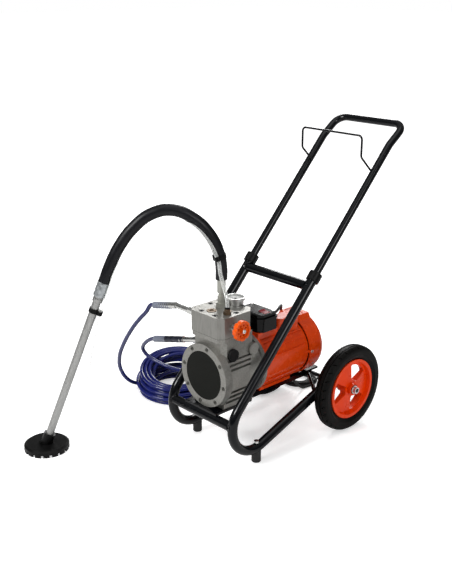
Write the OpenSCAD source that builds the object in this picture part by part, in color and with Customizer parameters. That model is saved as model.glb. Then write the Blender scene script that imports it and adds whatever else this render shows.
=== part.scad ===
// Airless paint sprayer on a two-wheeled trolley: diaphragm pump with electric motor, suction set and hose.
// Millimetres, +Z up, floor at z = 0. Y runs from the pump cover (front, -Y) to the push handle (rear, +Y).

/* [Trolley] */
// Distance from the origin back to the wheel axle
axle_y = 86; // [80:1:90]
// Spacing of the two side hoops, centre to centre
track_w = 240; // [236:2:250]
// Outer diameter of the hoop, crossbar and brace tubes
frame_tube_d = 26.9; // [25.5:0.1:28]
// Outer diameter of the sliding handle tubes
handle_tube_d = 21.3; // [19:0.1:21.5]
// Wall of the sliding handle tubes
handle_tube_wall = 2; // [1.2:0.2:2.6]
// Radial clearance of the handle tubes in the hoops
slide_gap = 0.08; // [0.05:0.01:0.1]
// Slope of the handle and the hoops' long legs above level, degrees
lean = 47; // [46:0.5:49]
// Slope of the hoops' lower legs above level, degrees
leg_slope = 19.5; // [18:0.5:21]
// Centreline radius of the bend at the front of each hoop
hoop_bend_r = 80; // [74:1:84]
// Height of the hoops' open upper ends
hoop_top_z = 478; // [460:2:500]
// Height of the brace between the hoops
brace_z = 455; // [440:1:458]
// Diameter of the rubber feet
foot_d = 26; // [22:1:30]
// Distance from the axle forward to the rubber feet
foot_ahead = 330; // [320:1:336]

/* [Handle] */
// Length of handle tube inside each hoop when pulled out
insert_len = 120; // [100:5:140]
// Distance from the axle back to the handle's elbow
elbow_back = 182; // [176:1:190]
// Slope of the grip section above level, degrees
grip_slope = 36; // [30:1:40]
// Length of the grip section beyond the elbow
grip_len = 84; // [80:1:100]
// Centreline radius of the grip's two corners
grip_corner_r = 34; // [28:1:40]
// Diameter of the hanger rod
hanger_rod_d = 6; // [5:0.5:8]

/* [Wheels] */
// Outer diameter of the tyre
wheel_d = 254; // [248:1:260]
// Width of the tyre
tyre_w = 44; // [40:1:46]
// Diameter of the rim at its bead
rim_d = 176; // [170:1:182]
// Spacing of the two wheels, centre to centre
wheel_track = 318; // [316:1:326]
// Diameter of the axle
axle_d = 12; // [10:1:14]
// Radial running clearance of the wheel bushes on the axle
axle_gap = 0.05; // [0.03:0.01:0.08]

/* [Pump] */
// Height of the motor shaft's axis above the floor
shaft_z = 239; // [238:0.5:242]
// Half width of the pump head
head_half_w = 64; // [60:1:68]
// Height of the joint between crankcase and head
head_joint_z = 354; // [350:1:358]
// Height of the pump head block
head_h = 58; // [52:1:62]
// Radius of the round front cover
cover_r = 88; // [84:1:90]
// Length from the front cover's face back to the motor
pump_len = 154; // [152:1:158]
// Thickness of the front cover
cover_t = 10; // [8:1:12]
// Distance from the axle forward to the front cover's face
cover_ahead = 412; // [408:1:416]
// Radius of the bare round plate on the front cover
plate_r = 68; // [60:1:70]
// Radius of the pressure control handwheel
handwheel_r = 27; // [24:1:30]
// Diameter of the pressure gauge
gauge_d = 52; // [46:1:56]

/* [Motor] */
// Outer radius of the motor housing over its ribs
motor_r = 86; // [84:0.5:88]
// Outer radius of the fan cover
fan_cover_r = 88; // [87:0.5:90]
// Length of the ribbed motor housing
motor_len = 172; // [168:1:176]
// Length of the fan cover
fan_len = 60; // [56:1:64]
// Diameter of the motor shaft
shaft_d = 28; // [24:1:30]
// Radial running clearance of the shaft in its bearings
shaft_gap = 0.03; // [0.02:0.01:0.05]

/* [Suction and hoses] */
// Outer diameter of the suction hose
suction_hose_d = 32; // [30:1:34]
// Outer diameter of the aluminium suction tube
suction_tube_d = 22; // [20:1:24]
// Diameter of the strainer's foot
strainer_d = 124; // [116:2:130]
// Outer diameter of the clear return tube
return_tube_d = 10; // [9:0.5:11]
// Outer diameter of the high pressure hose
hp_hose_d = 12; // [11:0.5:12.5]
// Outer diameter of the mains lead
lead_d = 8; // [7:0.5:9]

/* [Hidden] */

$fn = 64;
SIDES = [-1, 1];
wheel_r = wheel_d / 2;
half_track = track_w / 2;
half_wheel_track = wheel_track / 2;
joint_gap = 0.3;

// Hoop geometry in the side plane: the first number runs back along Y, the second runs up.
hoop_bore_d = handle_tube_d + 2 * slide_gap;
lean_dir = [cos(lean), sin(lean)];
leg_dir = [cos(leg_slope), sin(leg_slope)];
// Distance of the lower leg's centreline above the axle
leg_over_axle = 28.5;
// Distance from the axle forward to the hoops' upper ends
hoop_top_ahead = 115;
hoop_top = [axle_y - hoop_top_ahead, hoop_top_z];
leg_end_ahead = 12;
leg_end = [axle_y - leg_end_ahead, wheel_r + leg_over_axle - leg_end_ahead * tan(leg_slope)];
// Where the two straight runs of a hoop would meet, below the bend
hoop_corner = hoop_top - lean_dir * (cross(hoop_top - leg_end, leg_dir) / cross(lean_dir, leg_dir));
hoop_line = [hoop_top, hoop_corner, leg_end];
bend_c = bend_centre(hoop_line, 1, hoop_bend_r);
// The crossbar meets the hoops on the bend's front
crossbar_angle = 172;
crossbar_at = bend_c + hoop_bend_r * [cos(crossbar_angle), sin(crossbar_angle)];
function on_long_leg(z) = hoop_top + lean_dir * ((z - hoop_top[1]) / lean_dir[1]);
function on_low_leg(y) = leg_end + leg_dir * ((y - leg_end[0]) / leg_dir[0]);
foot_at = [axle_y - foot_ahead, 0];
foot_leg = on_low_leg(foot_at[0]);

// Base plate under pump and motor
plate_t = 6;
plate_top_z = shaft_z - max(cover_r, motor_r + 2, fan_cover_r);
plate_bottom_z = plate_top_z - plate_t;
plate_rear_half_w = 38;
strut_d = 12;

// Handle geometry in the side plane
handle_start = hoop_top - insert_len * lean_dir;
elbow = hoop_top + lean_dir * ((elbow_back + hoop_top_ahead) / lean_dir[0]);
elbow_r = 60;
grip_dir = [cos(grip_slope), sin(grip_slope)];
elbow_reach = elbow_r * tan((lean - grip_slope) / 2);
// The straight grip sides start a little past the elbow's bend
grip_start = elbow + (elbow_reach + 10) * grip_dir;
collar_len = 26;
collar_d = frame_tube_d + 9;

// Wheel geometry
hub_len = 48;
hub_d = 36;
wheel_in = half_wheel_track - hub_len / 2;
wheel_out = half_wheel_track + hub_len / 2;
bracket_t = 5;
bead_gap = 0.1;

// Pump geometry
cover_y = axle_y - cover_ahead;
case_y = cover_y + cover_t;
neck_y = case_y + 6;
head_y = cover_y + 4;
head_top_z = head_joint_z + head_h;
gasket_t = 1.2;
head_mid_y = cover_y + 72;
head_back_y = cover_y + 130;
head_chamfer = 20;
head_bolt_x = 26;
head_side_bolt_x = 50;
head_bolt_dy = 54;
case_half_w = head_half_w - 2;
flange_y = cover_y + pump_len;
case_back_y = flange_y - 34;
cover_bolt_r = (cover_r + plate_r) / 2;
cover_bolts_n = 8;
// Cross axis through the head for outlet and pressure control
control_y = cover_y + 49;
control_z = head_joint_z + 27;
suction_at = [-14, cover_y + 79];
valve_at = [-6, cover_y + 36];
return_at = [42, cover_y + 48];
gauge_at = [-2, cover_y + 119];
gauge_z = head_top_z + 0.5;

// Motor geometry
motor_foot_y = [flange_y + 33, flange_y + 138];
motor_core_r = motor_r - 5;
seam_y = flange_y + motor_len;
fan_back_y = seam_y + fan_len;
box_half_w = 52;
box_y0 = flange_y + 6;
box_y1 = box_y0 + 72;
box_z0 = shaft_z + motor_r + 2;
box_z1 = 360;
lid_h = 16;
cavity_r = 52;
housing_wall = 9;
rotor_r = 44;
air_gap = 0.5;

// ---------- helpers ----------
// Places a side-plane shape (u, v) at distance x from the middle
module side_plane(x) translate([x, 0, 0]) rotate([90, 0, 90]) children();

// Turn, reach and centre of the rounded corner i of a flat line of points
function heading(p, i) = atan2(p[i + 1][1] - p[i][1], p[i + 1][0] - p[i][0]);
function half_turn_wrap(a) = a > 180 ? a - 360 : a < -180 ? a + 360 : a;
function turn_at(p, i) = half_turn_wrap(heading(p, i) - heading(p, i - 1));
function reach_at(p, i, r) = i <= 0 || i >= len(p) - 1 ? 0 : r * tan(abs(turn_at(p, i)) / 2);
function bend_centre(p, i, r) = let (h = heading(p, i - 1), side = h + 90 * sign(turn_at(p, i)))
    p[i] - reach_at(p, i, r) * [cos(h), sin(h)] + r * [cos(side), sin(side)];

// Round rod along a flat line of points with rounded corners. Bends are thinner by lap_step and reach a
// little into the straight runs, so that no two faces lie on each other.
lap_step = 0.05;
module round_rod(p, r, d) {
    last = len(p) - 1;
    for (i = [0 : last - 1]) {
        run = unit(p[i + 1] - p[i]);
        a = p[i] + reach_at(p, i, r) * run;
        b = p[i + 1] - reach_at(p, i + 1, r) * run;
        translate([a[0], a[1], 0]) rotate([0, 0, heading(p, i)]) rotate([0, 90, 0])
            cylinder(d = d, h = norm(b - a));
    }
    for (i = [1 : 1 : last - 1]) {
        c = bend_centre(p, i, r);
        turn = turn_at(p, i);
        lap = sqrt(lap_step / r) * 180 / PI;
        translate([c[0], c[1], 0]) rotate([0, 0, heading(p, i - 1) - 90 * sign(turn) + min(turn, 0) - lap])
            rotate_extrude(angle = abs(turn) + 2 * lap) translate([r, 0]) circle(d = d - 2 * lap_step);
    }
}

// The line of points, drawn out beyond both ends
function longer(p, by) = [for (i = [0 : len(p) - 1])
    i == 0 ? p[0] - by * unit(p[1] - p[0]) : i == len(p) - 1 ? p[i] + by * unit(p[i] - p[i - 1]) : p[i]];

// Straight round bar between two points in space
module bar3(a, b, d) {
    run = b - a;
    translate(a) rotate([0, atan2(norm([run[0], run[1]]), run[2]), atan2(run[1], run[0])])
        cylinder(d = d, h = norm(run));
}

// Cylinder along +Y or +X from a point
module along_y(at, d, h, n = 64) translate(at) rotate([-90, 0, 0]) cylinder(d = d, h = h, $fn = n);
module along_x(at, d, h, n = 64) translate(at) rotate([0, 90, 0]) cylinder(d = d, h = h, $fn = n);

// Hexagon of a given width across flats
module hex_prism(af, h) cylinder(d = af / cos(30), h = h, $fn = 6);

// ---------- cord routes ----------
// Sweeps a round tube of given sides through the points, ends square to the first and last runs.
function unit(v) = v / norm(v);
function tangent(p, i) = unit(p[min(i + 1, len(p) - 1)] - p[max(i - 1, 0)]);
function first_normal(t) = abs(t[2]) < 0.9 ? unit(cross(t, [0, 0, 1])) : unit(cross(t, [1, 0, 0]));
function normals(p) = [
    for (i = 0, n = first_normal(tangent(p, 0)); i < len(p);
         i = i + 1, n = i < len(p) ? unit(n - (n * tangent(p, i)) * tangent(p, i)) : n) n];
module swept_tube(p, d, sides) {
    n = normals(p);
    rings = len(p);
    points = [for (i = [0 : rings - 1]) let (t = tangent(p, i), b = cross(t, n[i]))
        for (k = [0 : sides - 1]) p[i] + d / 2 * (cos(360 * k / sides) * n[i] + sin(360 * k / sides) * b)];
    walls = [for (i = [0 : rings - 2]) for (k = [0 : sides - 1]) let (a = i * sides, m = (k + 1) % sides)
        each [[a + k, a + sides + k, a + m], [a + m, a + sides + k, a + sides + m]]];
    caps = [for (k = [1 : sides - 2]) each [[0, k, k + 1],
        [(rings - 1) * sides, (rings - 1) * sides + k + 1, (rings - 1) * sides + k]]];
    polyhedron(points, concat(walls, caps));
}

// ---------- trolley ----------
module hoop_path(d) round_rod(hoop_line, hoop_bend_r, d);
module hoop(side) side_plane(side * half_track) difference() {
    hoop_path(frame_tube_d);
    round_rod(longer(hoop_line, 1), hoop_bend_r, hoop_bore_d);
}

module left_hoop() color("#16171b") hoop(-1);
module right_hoop() color("#16171b") hoop(1);

module cross_tube(at, d) {
    reach = half_track - frame_tube_d / 2;
    difference() {
        along_x([-reach - 4, at[0], at[1]], d, 2 * reach + 8);
        for (side = SIDES) side_plane(side * half_track) hoop_path(frame_tube_d);
    }
}

module front_crossbar() color("#16171b") cross_tube(crossbar_at, frame_tube_d);
module brace() color("#16171b") cross_tube(on_long_leg(brace_z), frame_tube_d);

module base_plate() {
    color("#16171b") {
        difference() {
            translate([0, 0, plate_bottom_z]) linear_extrude(plate_t) polygon([
                [-case_half_w, crossbar_at[0] - 6], [case_half_w, crossbar_at[0] - 6],
                [case_half_w, case_back_y], [plate_rear_half_w, case_back_y + 30],
                [plate_rear_half_w, axle_y + 8], [-plate_rear_half_w, axle_y + 8],
                [-plate_rear_half_w, case_back_y + 30], [-case_half_w, case_back_y]]);
            for (q = base_bolt_places) translate([q[0], q[1], plate_bottom_z - 1])
                cylinder(d = 9, h = plate_t + 2, $fn = 32);
            along_x([-half_track, crossbar_at[0], crossbar_at[1]], frame_tube_d, track_w);
        }
        // Turned-down lips along both edges stiffen the plate
        for (side = SIDES)
            translate([side * (plate_rear_half_w - 2), (case_back_y + 30 + axle_y - 20) / 2,
                plate_bottom_z - 4])
                cube([4, axle_y - 20 - case_back_y - 30, 8], center = true);
    }
}

// Two round struts tie the back of the base plate to the lower legs
module rear_struts() {
    color("#16171b") for (side = SIDES) difference() {
        bar3([side * (plate_rear_half_w + strut_d / 3 + 0.2), axle_y - 34, plate_bottom_z - 6],
            [side * half_track, axle_y - 95, on_low_leg(axle_y - 95)[1] + 2], strut_d);
        side_plane(side * half_track) hoop_path(frame_tube_d);
    }
}

// Flat lugs under the ends of the lower legs, drilled for the axle
module axle_brackets() {
    color("#16171b") for (side = SIDES) translate([side * half_track - bracket_t / 2, 0, 0]) difference() {
        translate([0, axle_y, wheel_r]) rotate([90, 0, 90]) linear_extrude(bracket_t) union() {
            circle(d = 30);
            polygon([[-15, 0], [15, 0], [6, 28], [-34, 20]]);
        }
        along_x([-1, axle_y, wheel_r], axle_d, bracket_t + 2);
        side_plane(bracket_t / 2) round_rod([on_low_leg(axle_y - 80), leg_end + 30 * leg_dir], 1,
            frame_tube_d);
    }
}

module axle() color("#1b1c20") along_x([-wheel_out - 12, axle_y, wheel_r], axle_d, 2 * wheel_out + 24);

// Nut and washer outside each wheel, spacer tube inside
module axle_nuts() {
    color("silver") for (side = SIDES) difference() {
        union() {
            translate([side * (wheel_out + 0.4), axle_y, wheel_r]) rotate([0, side * 90, 0]) {
                cylinder(d = 24, h = 2);
                translate([0, 0, 2]) hex_prism(18, 9);
            }
            translate([side * (half_track + bracket_t / 2), axle_y, wheel_r]) rotate([0, side * 90, 0])
                cylinder(d = 18, h = wheel_in - half_track - bracket_t / 2 - 0.4);
        }
        along_x([-wheel_out - 20, axle_y, wheel_r], axle_d, 2 * wheel_out + 40);
    }
}

module feet() {
    color("#111111") for (side = SIDES) translate([side * half_track, foot_at[0], 0]) difference() {
        union() {
            cylinder(d1 = foot_d - 2, d2 = foot_d, h = 2);
            translate([0, 0, 2]) cylinder(d = foot_d, h = foot_leg[1] - 6);
        }
        translate([0, -foot_at[0], 0]) side_plane(0) hoop_path(frame_tube_d);
        translate([0, 0, 6]) cylinder(d = 8, h = foot_leg[1]);
    }
}

// Zinc-plated screws: foot bolts through the legs, base bolts up into crankcase and motor, fan cover screws
base_bolt_places = concat(
    [for (x = SIDES, y = [case_y + 26, case_back_y - 14]) [x * 44, y]],
    [for (x = SIDES, y = motor_foot_y) [x * 24, y]]);
module frame_bolts() {
    color("silver") {
        for (side = SIDES) translate([side * half_track, foot_at[0], 0])
            translate([0, 0, foot_leg[1] + frame_tube_d / 2 / cos(leg_slope) + 2.8]) hex_prism(13, 6);
        for (q = base_bolt_places) translate([q[0], q[1], plate_bottom_z - 5]) {
            hex_prism(13, 5);
            cylinder(d = 8, h = plate_t + 17, $fn = 32);
        }
        for (side = SIDES) translate([side * (fan_cover_r + 0.1), seam_y + 10, shaft_z])
            rotate([0, side * 90, 0]) cylinder(d = 7, h = 2.4, $fn = 24);
    }
}

// ---------- wheels ----------
// Tyre section revolved about the axle: flat tread, round shoulders, bead seat
module tyre(side) {
    color("#141414") translate([side * half_wheel_track, axle_y, wheel_r]) rotate([0, 90, 0]) difference() {
        rotate_extrude($fn = 96) tyre_section();
        tread_grooves();
    }
}

module tyre_section() {
    half = tyre_w / 2;
    bead = rim_d / 2 - 3 + bead_gap;
    bead_z = half - 7 - bead_gap;
    polygon(concat(
        [[bead, -bead_z], [rim_d / 2 + 0.5, -bead_z], [wheel_r - 26, -half]],
        [for (a = [-90 : 22.5 : 0]) [wheel_r - 16 + 16 * cos(a) * 1, -half + 16 + 16 * sin(a)]],
        [for (a = [0 : 22.5 : 90]) [wheel_r - 16 + 16 * cos(a), half - 16 + 16 * sin(a)]],
        [[wheel_r - 26, half], [rim_d / 2 + 0.5, bead_z], [bead, bead_z]]));
}

module tread_grooves() {
    for (z = [-6, 6]) rotate_extrude($fn = 96) translate([wheel_r - 3, z - 1.25]) square([6, 2.5]);
    for (i = [0 : 29], s = SIDES) rotate([0, 0, i * 12 + s * 3])
        translate([wheel_r - 3.5, 0, s * (tyre_w / 2 - 6)]) rotate([s * 30, 0, 0]) cube([8, 3, 12],
            center = true);
}

module tyre_left() tyre(-1);
module tyre_right() tyre(1);

// Moulded rim: dished barrel with three broad spokes and a hub
module rim(side) {
    half = tyre_w / 2 - 7;
    color("#e6350f") translate([side * half_wheel_track, axle_y, wheel_r]) rotate([0, side * 90,
        0]) difference() {
        union() {
            rotate_extrude($fn = 96) polygon([
                [rim_d / 2 - 3, -half], [rim_d / 2 - 3, half], [rim_d / 2, half], [rim_d / 2, half + 4],
                [rim_d / 2 - 9, half + 4], [rim_d / 2 - 12, half - 6], [rim_d / 2 - 12, -half + 2],
                [rim_d / 2 - 9, -half - 4], [rim_d / 2, -half - 4], [rim_d / 2, -half]]);
            difference() {
                rotate_extrude($fn = 96) polygon([
                    [0, -8], [hub_d / 2, -8], [rim_d / 2 - 11, -2], [rim_d / 2 - 11, 8], [hub_d / 2,
                        14], [0, 14]]);
                for (i = [0 : 2]) rotate([0, 0, i * 120 + 30]) linear_extrude(60,
                    center = true) spoke_window();
            }
            translate([0, 0, -hub_len / 2]) cylinder(d = hub_d, h = hub_len);
            translate([0, 0, -hub_len / 2]) cylinder(d = 30, h = hub_len);
        }
        cylinder(d = axle_d + 2 * axle_gap, h = hub_len + 2, center = true);
        translate([0, 0, hub_len / 2 - 6]) cylinder(d = 28, h = 10);
    }
}

// Window between two spokes: rounded wedge
module spoke_window() {
    offset(r = 6) offset(delta = -6) intersection() {
        difference() {
            circle(r = rim_d / 2 - 18);
            circle(r = hub_d / 2 + 7);
        }
        polygon([[0, 0], [100 * cos(28), -100 * sin(28)], [100, 0], [100 * cos(28), 100 * sin(28)]]);
    }
}

module rim_left() rim(-1);
module rim_right() rim(1);

// ---------- handle ----------
handle_bore_d = handle_tube_d - 2 * handle_tube_wall;
// The grip lies in a plane of its own, tilted at the grip slope: points run across, then back
grip_back = grip_len - elbow_reach - 10;
grip_line = [[half_track, -5], [half_track, grip_back], [-half_track, grip_back], [-half_track, -5]];
module handle_rods(d, beyond) {
    for (side = SIDES) side_plane(side * half_track)
        round_rod([handle_start - beyond * lean_dir, elbow, grip_start], elbow_r, d);
    translate([0, grip_start[0], grip_start[1]]) rotate([grip_slope, 0, 0])
        round_rod(grip_line, grip_corner_r, d - 2 * lap_step);
}

module handle() {
    color("#17181c") difference() {
        handle_rods(handle_tube_d, 0);
        handle_rods(handle_bore_d, 1);
    }
}

// Thin bent rod welded across the handle tubes, for the suction tube to hang on
hanger_foot = on_long_leg(731);
hanger_knee = hanger_foot + [-46, 44];
hanger_rise = 58;
hanger_bend_r = 12;
module hanger_rod() {
    reach = half_track - 12;
    lift = hanger_rise - 20;
    cross_line = [[reach, -2], [reach, lift], [-reach, lift], [-reach, -2]];
    color("#17181c") difference() {
        union() {
            for (side = SIDES) side_plane(side * reach)
                round_rod([hanger_foot, hanger_knee, hanger_knee + [0, 20]], hanger_bend_r, hanger_rod_d);
            translate([0, hanger_knee[0], hanger_knee[1] + 20]) rotate([90, 0, 0])
                round_rod(cross_line, hanger_bend_r, hanger_rod_d - 2 * lap_step);
        }
        for (side = SIDES) side_plane(side * half_track) round_rod([handle_start, elbow], 1, handle_tube_d);
    }
}

// Twist-lock collar on the hoop's open end
module collar(side) {
    color("#0e0e10") side_plane(side * half_track) translate([hoop_top[0], hoop_top[1], 0])
        rotate([0, 0, lean]) rotate([0, 90, 0]) difference() {
            translate([0, 0, -16]) {
                cylinder(d = collar_d, h = collar_len);
                for (i = [0 : 11]) rotate([0, 0, i * 30]) translate([collar_d / 2 - 0.6, 0, 1.5])
                    cylinder(d = 3, h = collar_len - 3, $fn = 16);
            }
            translate([0, 0, -17]) cylinder(d = frame_tube_d + 2 * slide_gap, h = 17.3);
            translate([0, 0, -1]) cylinder(d = handle_tube_d + 2 * joint_gap, h = collar_len);
        }
}

module collar_left() collar(-1);
module collar_right() collar(1);

// ---------- pump ----------
module head_outline(inset = 0) {
    w = head_half_w - inset;
    front = head_y + inset;
    back = head_back_y - inset;
    polygon([[-w + 14, front], [w - 14, front], [w, front + 14], [w, back - head_chamfer],
        [w - head_chamfer, back], [-w + head_chamfer, back], [-w, back - head_chamfer], [-w, front + 14]]);
}

// Crankcase: box with flat grooved flanks, round cover seat, and a cone that widens to the motor flange
module crankcase() {
    color("#8e8f8a") difference() {
        union() {
            translate([0, 0, plate_top_z + 14]) linear_extrude(head_joint_z - plate_top_z - 14) polygon([
                [-case_half_w + 12, neck_y], [case_half_w - 12, neck_y], [case_half_w, neck_y + 12],
                [case_half_w, case_back_y], [-case_half_w, case_back_y], [-case_half_w, neck_y + 12]]);
            translate([0, 0, plate_top_z]) linear_extrude(15) polygon([
                [-case_half_w + 4, neck_y + 4], [case_half_w - 4, neck_y + 4],
                [case_half_w - 4, case_back_y], [-case_half_w + 4, case_back_y]]);
            translate([0, 0, head_joint_z - 12]) linear_extrude(12) head_outline(1.5);
            along_y([0, case_y, shaft_z], 2 * cover_r, 14);
            translate([0, case_back_y - 18, shaft_z]) rotate([-90, 0, 0])
                cylinder(r1 = case_half_w - 4, r2 = motor_r - 4, h = flange_y - case_back_y + 8);
            along_y([0, flange_y - 12, shaft_z], 2 * motor_r + 4, 12);
            // Round boss at the back of each flank
            for (side = SIDES) along_x([side > 0 ? 40 : -case_half_w - 8, case_back_y + 2,
                shaft_z + 62], 34, 28);
        }
        flank_grooves();
        // Crank chamber, open to the front, and bearing wall bore
        along_y([0, case_y - 1, shaft_z], 2 * cavity_r, case_back_y - case_y - 14);
        along_y([0, case_y, shaft_z], bearing_d, flange_y - case_y + 1);
        // Room for the motor end beyond the wall
        along_y([0, case_back_y + 2, shaft_z], 2 * cavity_r, flange_y - case_back_y);
        // Cylinder for the pump piston
        translate([0, head_mid_y, shaft_z + 20]) cylinder(d = piston_bore, h = 200);
        for (i = [0 : 3]) translate([base_bolt_places[i][0], base_bolt_places[i][1], plate_top_z - 1])
            cylinder(d = 8.4, h = 20, $fn = 32);
        // Oil plug seat
        along_x([case_half_w - 8, oil_plug_at[0], oil_plug_at[1]], 24, 20);
        for (i = [0 : cover_bolts_n - 1]) rotate_about_shaft(i * 360 / cover_bolts_n + 10)
            along_y([cover_bolt_r, case_y - 1, 0], 6, 12, 24);
    }
}

bearing_d = 52;
piston_bore = 40;
oil_plug_at = [cover_y + 46, shaft_z + 65];
oil_plug_d = 33;

module rotate_about_shaft(a) translate([0, 0, shaft_z]) rotate([0, a, 0]) children();

// Level cooling grooves in both flanks: three above, three below
module flank_grooves() {
    for (side = SIDES, z = [shaft_z + 20, shaft_z + 34, shaft_z + 48, shaft_z - 44, shaft_z - 56,
        shaft_z - 68])
        translate([side * case_half_w, case_back_y - 5, z]) rotate([90, 0, 0])
            linear_extrude(case_back_y - neck_y - 14)
                polygon([[-side * 7, -2], [0, -3.5], [side * 20, -3.5],
                    [side * 20, 3.5], [0, 3.5], [-side * 7, 2]]);
}

module front_cover() {
    color("#a3a49e") difference() {
        union() {
            along_y([0, cover_y, shaft_z], 2 * cover_r, cover_t - 0.2);
            along_y([0, case_y - 0.2, shaft_z], 2 * cavity_r - 1, 6);
        }
        along_y([0, cover_y - 1, shaft_z], 2 * plate_r, 2.5);
        along_y([0, case_y - 4, shaft_z], 34, 20);
        for (i = [0 : cover_bolts_n - 1]) rotate_about_shaft(i * 360 / cover_bolts_n + 10) {
            along_y([cover_bolt_r, cover_y - 1, 0], 6, cover_t + 2, 24);
            along_y([cover_bolt_r, cover_y - 1, 0], 12, 4, 24);
        }
    }
}

// Socket head screws sunk in the cover
module cover_bolts() {
    color("#6f6f6c") for (i = [0 : cover_bolts_n - 1]) rotate_about_shaft(i * 360 / cover_bolts_n + 10)
        difference() {
            union() {
                along_y([cover_bolt_r, cover_y - 1.5, 0], 10, 4.5, 32);
                along_y([cover_bolt_r, cover_y + 3, 0], 6, cover_t + 6, 24);
            }
            translate([cover_bolt_r, cover_y - 2, 0]) rotate([-90, 0, 0]) hex_prism(5, 3);
        }
}

// Bare round plate in the cover's recess
module cover_plate() color("#23241f") along_y([0, cover_y + 0.3, shaft_z], 2 * plate_r - 0.4, 1.2, 96);

module head_gasket() {
    color("#3a3a38") difference() {
        translate([0, 0, head_joint_z]) linear_extrude(gasket_t) head_outline(1);
        translate([0, head_mid_y, head_joint_z - 1]) cylinder(d = diaphragm_d + 0.4, h = 4);
    }
}

// Piston at the top of its stroke on the eccentric, and the diaphragm clamped above its cylinder
diaphragm_d = piston_bore + 10;
module piston() {
    color("#77787a") translate([0, head_mid_y, 0]) {
        translate([0, 0, shaft_z + eccentric_throw + eccentric_d / 2 + joint_gap])
            cylinder(d = piston_bore - 0.2, h = 52, $fn = 48);
        translate([0, 0, head_joint_z]) cylinder(d = diaphragm_d, h = gasket_t, $fn = 48);
    }
}

head_bolt_places = concat(
    [for (x = SIDES) [x * head_side_bolt_x, head_mid_y]],
    [for (x = SIDES, y = SIDES) [x * head_bolt_x, head_mid_y + y * head_bolt_dy]]);

module pump_head() {
    color("#9d9e98") difference() {
        translate([0, 0, head_joint_z + gasket_t]) linear_extrude(head_h - gasket_t) head_outline();
        for (q = head_bolt_places) translate([q[0], q[1], head_top_z - 6]) cylinder(d = 15, h = 10,
            $fn = 32);
        translate([suction_at[0], suction_at[1], head_top_z - 20]) cylinder(d = 20, h = 30, $fn = 48);
        translate([valve_at[0], valve_at[1], head_top_z - 3]) cylinder(d = 27, h = 10, $fn = 48);
        translate([return_at[0], return_at[1], head_top_z - 12]) cylinder(d = 12, h = 20, $fn = 32);
        translate([gauge_at[0], gauge_at[1], head_top_z - 12]) cylinder(d = 12, h = 20, $fn = 32);
        along_x([-head_half_w - 1, control_y, control_z], 16, 21, 48);
        along_x([head_half_w - 20, control_y, control_z], 16, 40, 48);
        translate([0, head_mid_y, head_joint_z - 1]) cylinder(d = 36, h = 14, $fn = 48);
    }
}

module head_bolts() {
    color("#4c4c4a") for (q = head_bolt_places) translate([q[0], q[1], head_top_z - 6]) difference() {
        cylinder(d = 13, h = 4.5, $fn = 32);
        translate([0, 0, 1]) hex_prism(7, 5);
    }
}

module valve_plug() {
    color("#7d6650") translate([valve_at[0], valve_at[1], head_top_z - 3]) difference() {
        cylinder(d = 27, h = 4.5, $fn = 48);
        translate([0, 0, 2]) hex_prism(12, 4);
    }
}

// Suction inlet: hexagon nut, turned body, hose tail and crimp sleeve
suction_sleeve_z = head_top_z + 76;
module suction_fitting() {
    color("#a9a69b") translate([suction_at[0], suction_at[1], 0]) {
        translate([0, 0, head_top_z - 18]) cylinder(d = 20, h = 20, $fn = 48);
        translate([0, 0, head_top_z]) hex_prism(27, 11);
        translate([0, 0, head_top_z + 11]) cylinder(d = 22, h = 20, $fn = 48);
        translate([0, 0, head_top_z + 31]) cylinder(d = 15, h = 8, $fn = 48);
        translate([0, 0, head_top_z + 39]) cylinder(d = 23, h = suction_sleeve_z - head_top_z - 39,
            $fn = 48);
    }
}

// Return outlet: hexagon body with a push-in collar
module return_fitting() {
    color("#8a7350") translate([return_at[0], return_at[1], 0]) {
        translate([0, 0, head_top_z - 12]) cylinder(d = 12, h = 13, $fn = 32);
        translate([0, 0, head_top_z]) hex_prism(19, 9);
        translate([0, 0, head_top_z + 9]) cylinder(d = 15, h = 6, $fn = 32);
    }
}

// High pressure outlet on the head's left side
outlet_face_x = -head_half_w - 40;
module outlet_fitting() {
    color("silver") {
        along_x([-head_half_w - 8, control_y, control_z], 16, 26, 48);
        translate([-head_half_w, control_y, control_z]) rotate([0, -90, 0]) hex_prism(22, 14);
        along_x([outlet_face_x, control_y, control_z], 14, 28, 48);
    }
}

module oil_plug() {
    color("#0c0c0c") translate([case_half_w + 0.1, oil_plug_at[0], oil_plug_at[1]]) rotate([0, 90, 0]) {
        translate([0, 0, -7.5]) cylinder(d = 23.8, h = 10);
        cylinder(d = oil_plug_d, h = 9);
        for (i = [0 : 15]) rotate([0, 0, i * 22.5]) translate([oil_plug_d / 2 - 0.5, 0, 0])
            cylinder(d = 2.4, h = 9, $fn = 12);
    }
}

// Pressure control: chromed stem in the head, spindle and wheel turn on it
stem_len = 24;
module regulator_stem() {
    color("silver") difference() {
        union() {
            along_x([head_half_w - 19, control_y, control_z], 16, 20, 48);
            along_x([head_half_w, control_y, control_z], 25, 5, 48);
            along_x([head_half_w + 5, control_y, control_z], 20, stem_len - 5, 48);
        }
        along_x([head_half_w - 12, control_y, control_z], 8 + 2 * axle_gap, stem_len + 20, 32);
    }
}

module handwheel() {
    color("#e0571c") translate([head_half_w + stem_len + 0.4, control_y, control_z]) rotate([0, 90, 0]) {
        difference() {
            cylinder(r = handwheel_r, h = 12);
            translate([0, 0, 8]) cylinder(r = handwheel_r - 6, h = 6);
            for (i = [0 : 7]) rotate([0, 0, i * 45 + 22.5]) {
                translate([14, 0, -1]) cylinder(r = 3.4, h = 14, $fn = 32);
                translate([handwheel_r + 2.5, 0, -1]) cylinder(r = 5, h = 14, $fn = 32);
            }
        }
        cylinder(d = 15, h = 14, $fn = 48);
        translate([0, 0, -stem_len - 8]) cylinder(d = 8, h = stem_len + 9, $fn = 32);
    }
}

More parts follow.
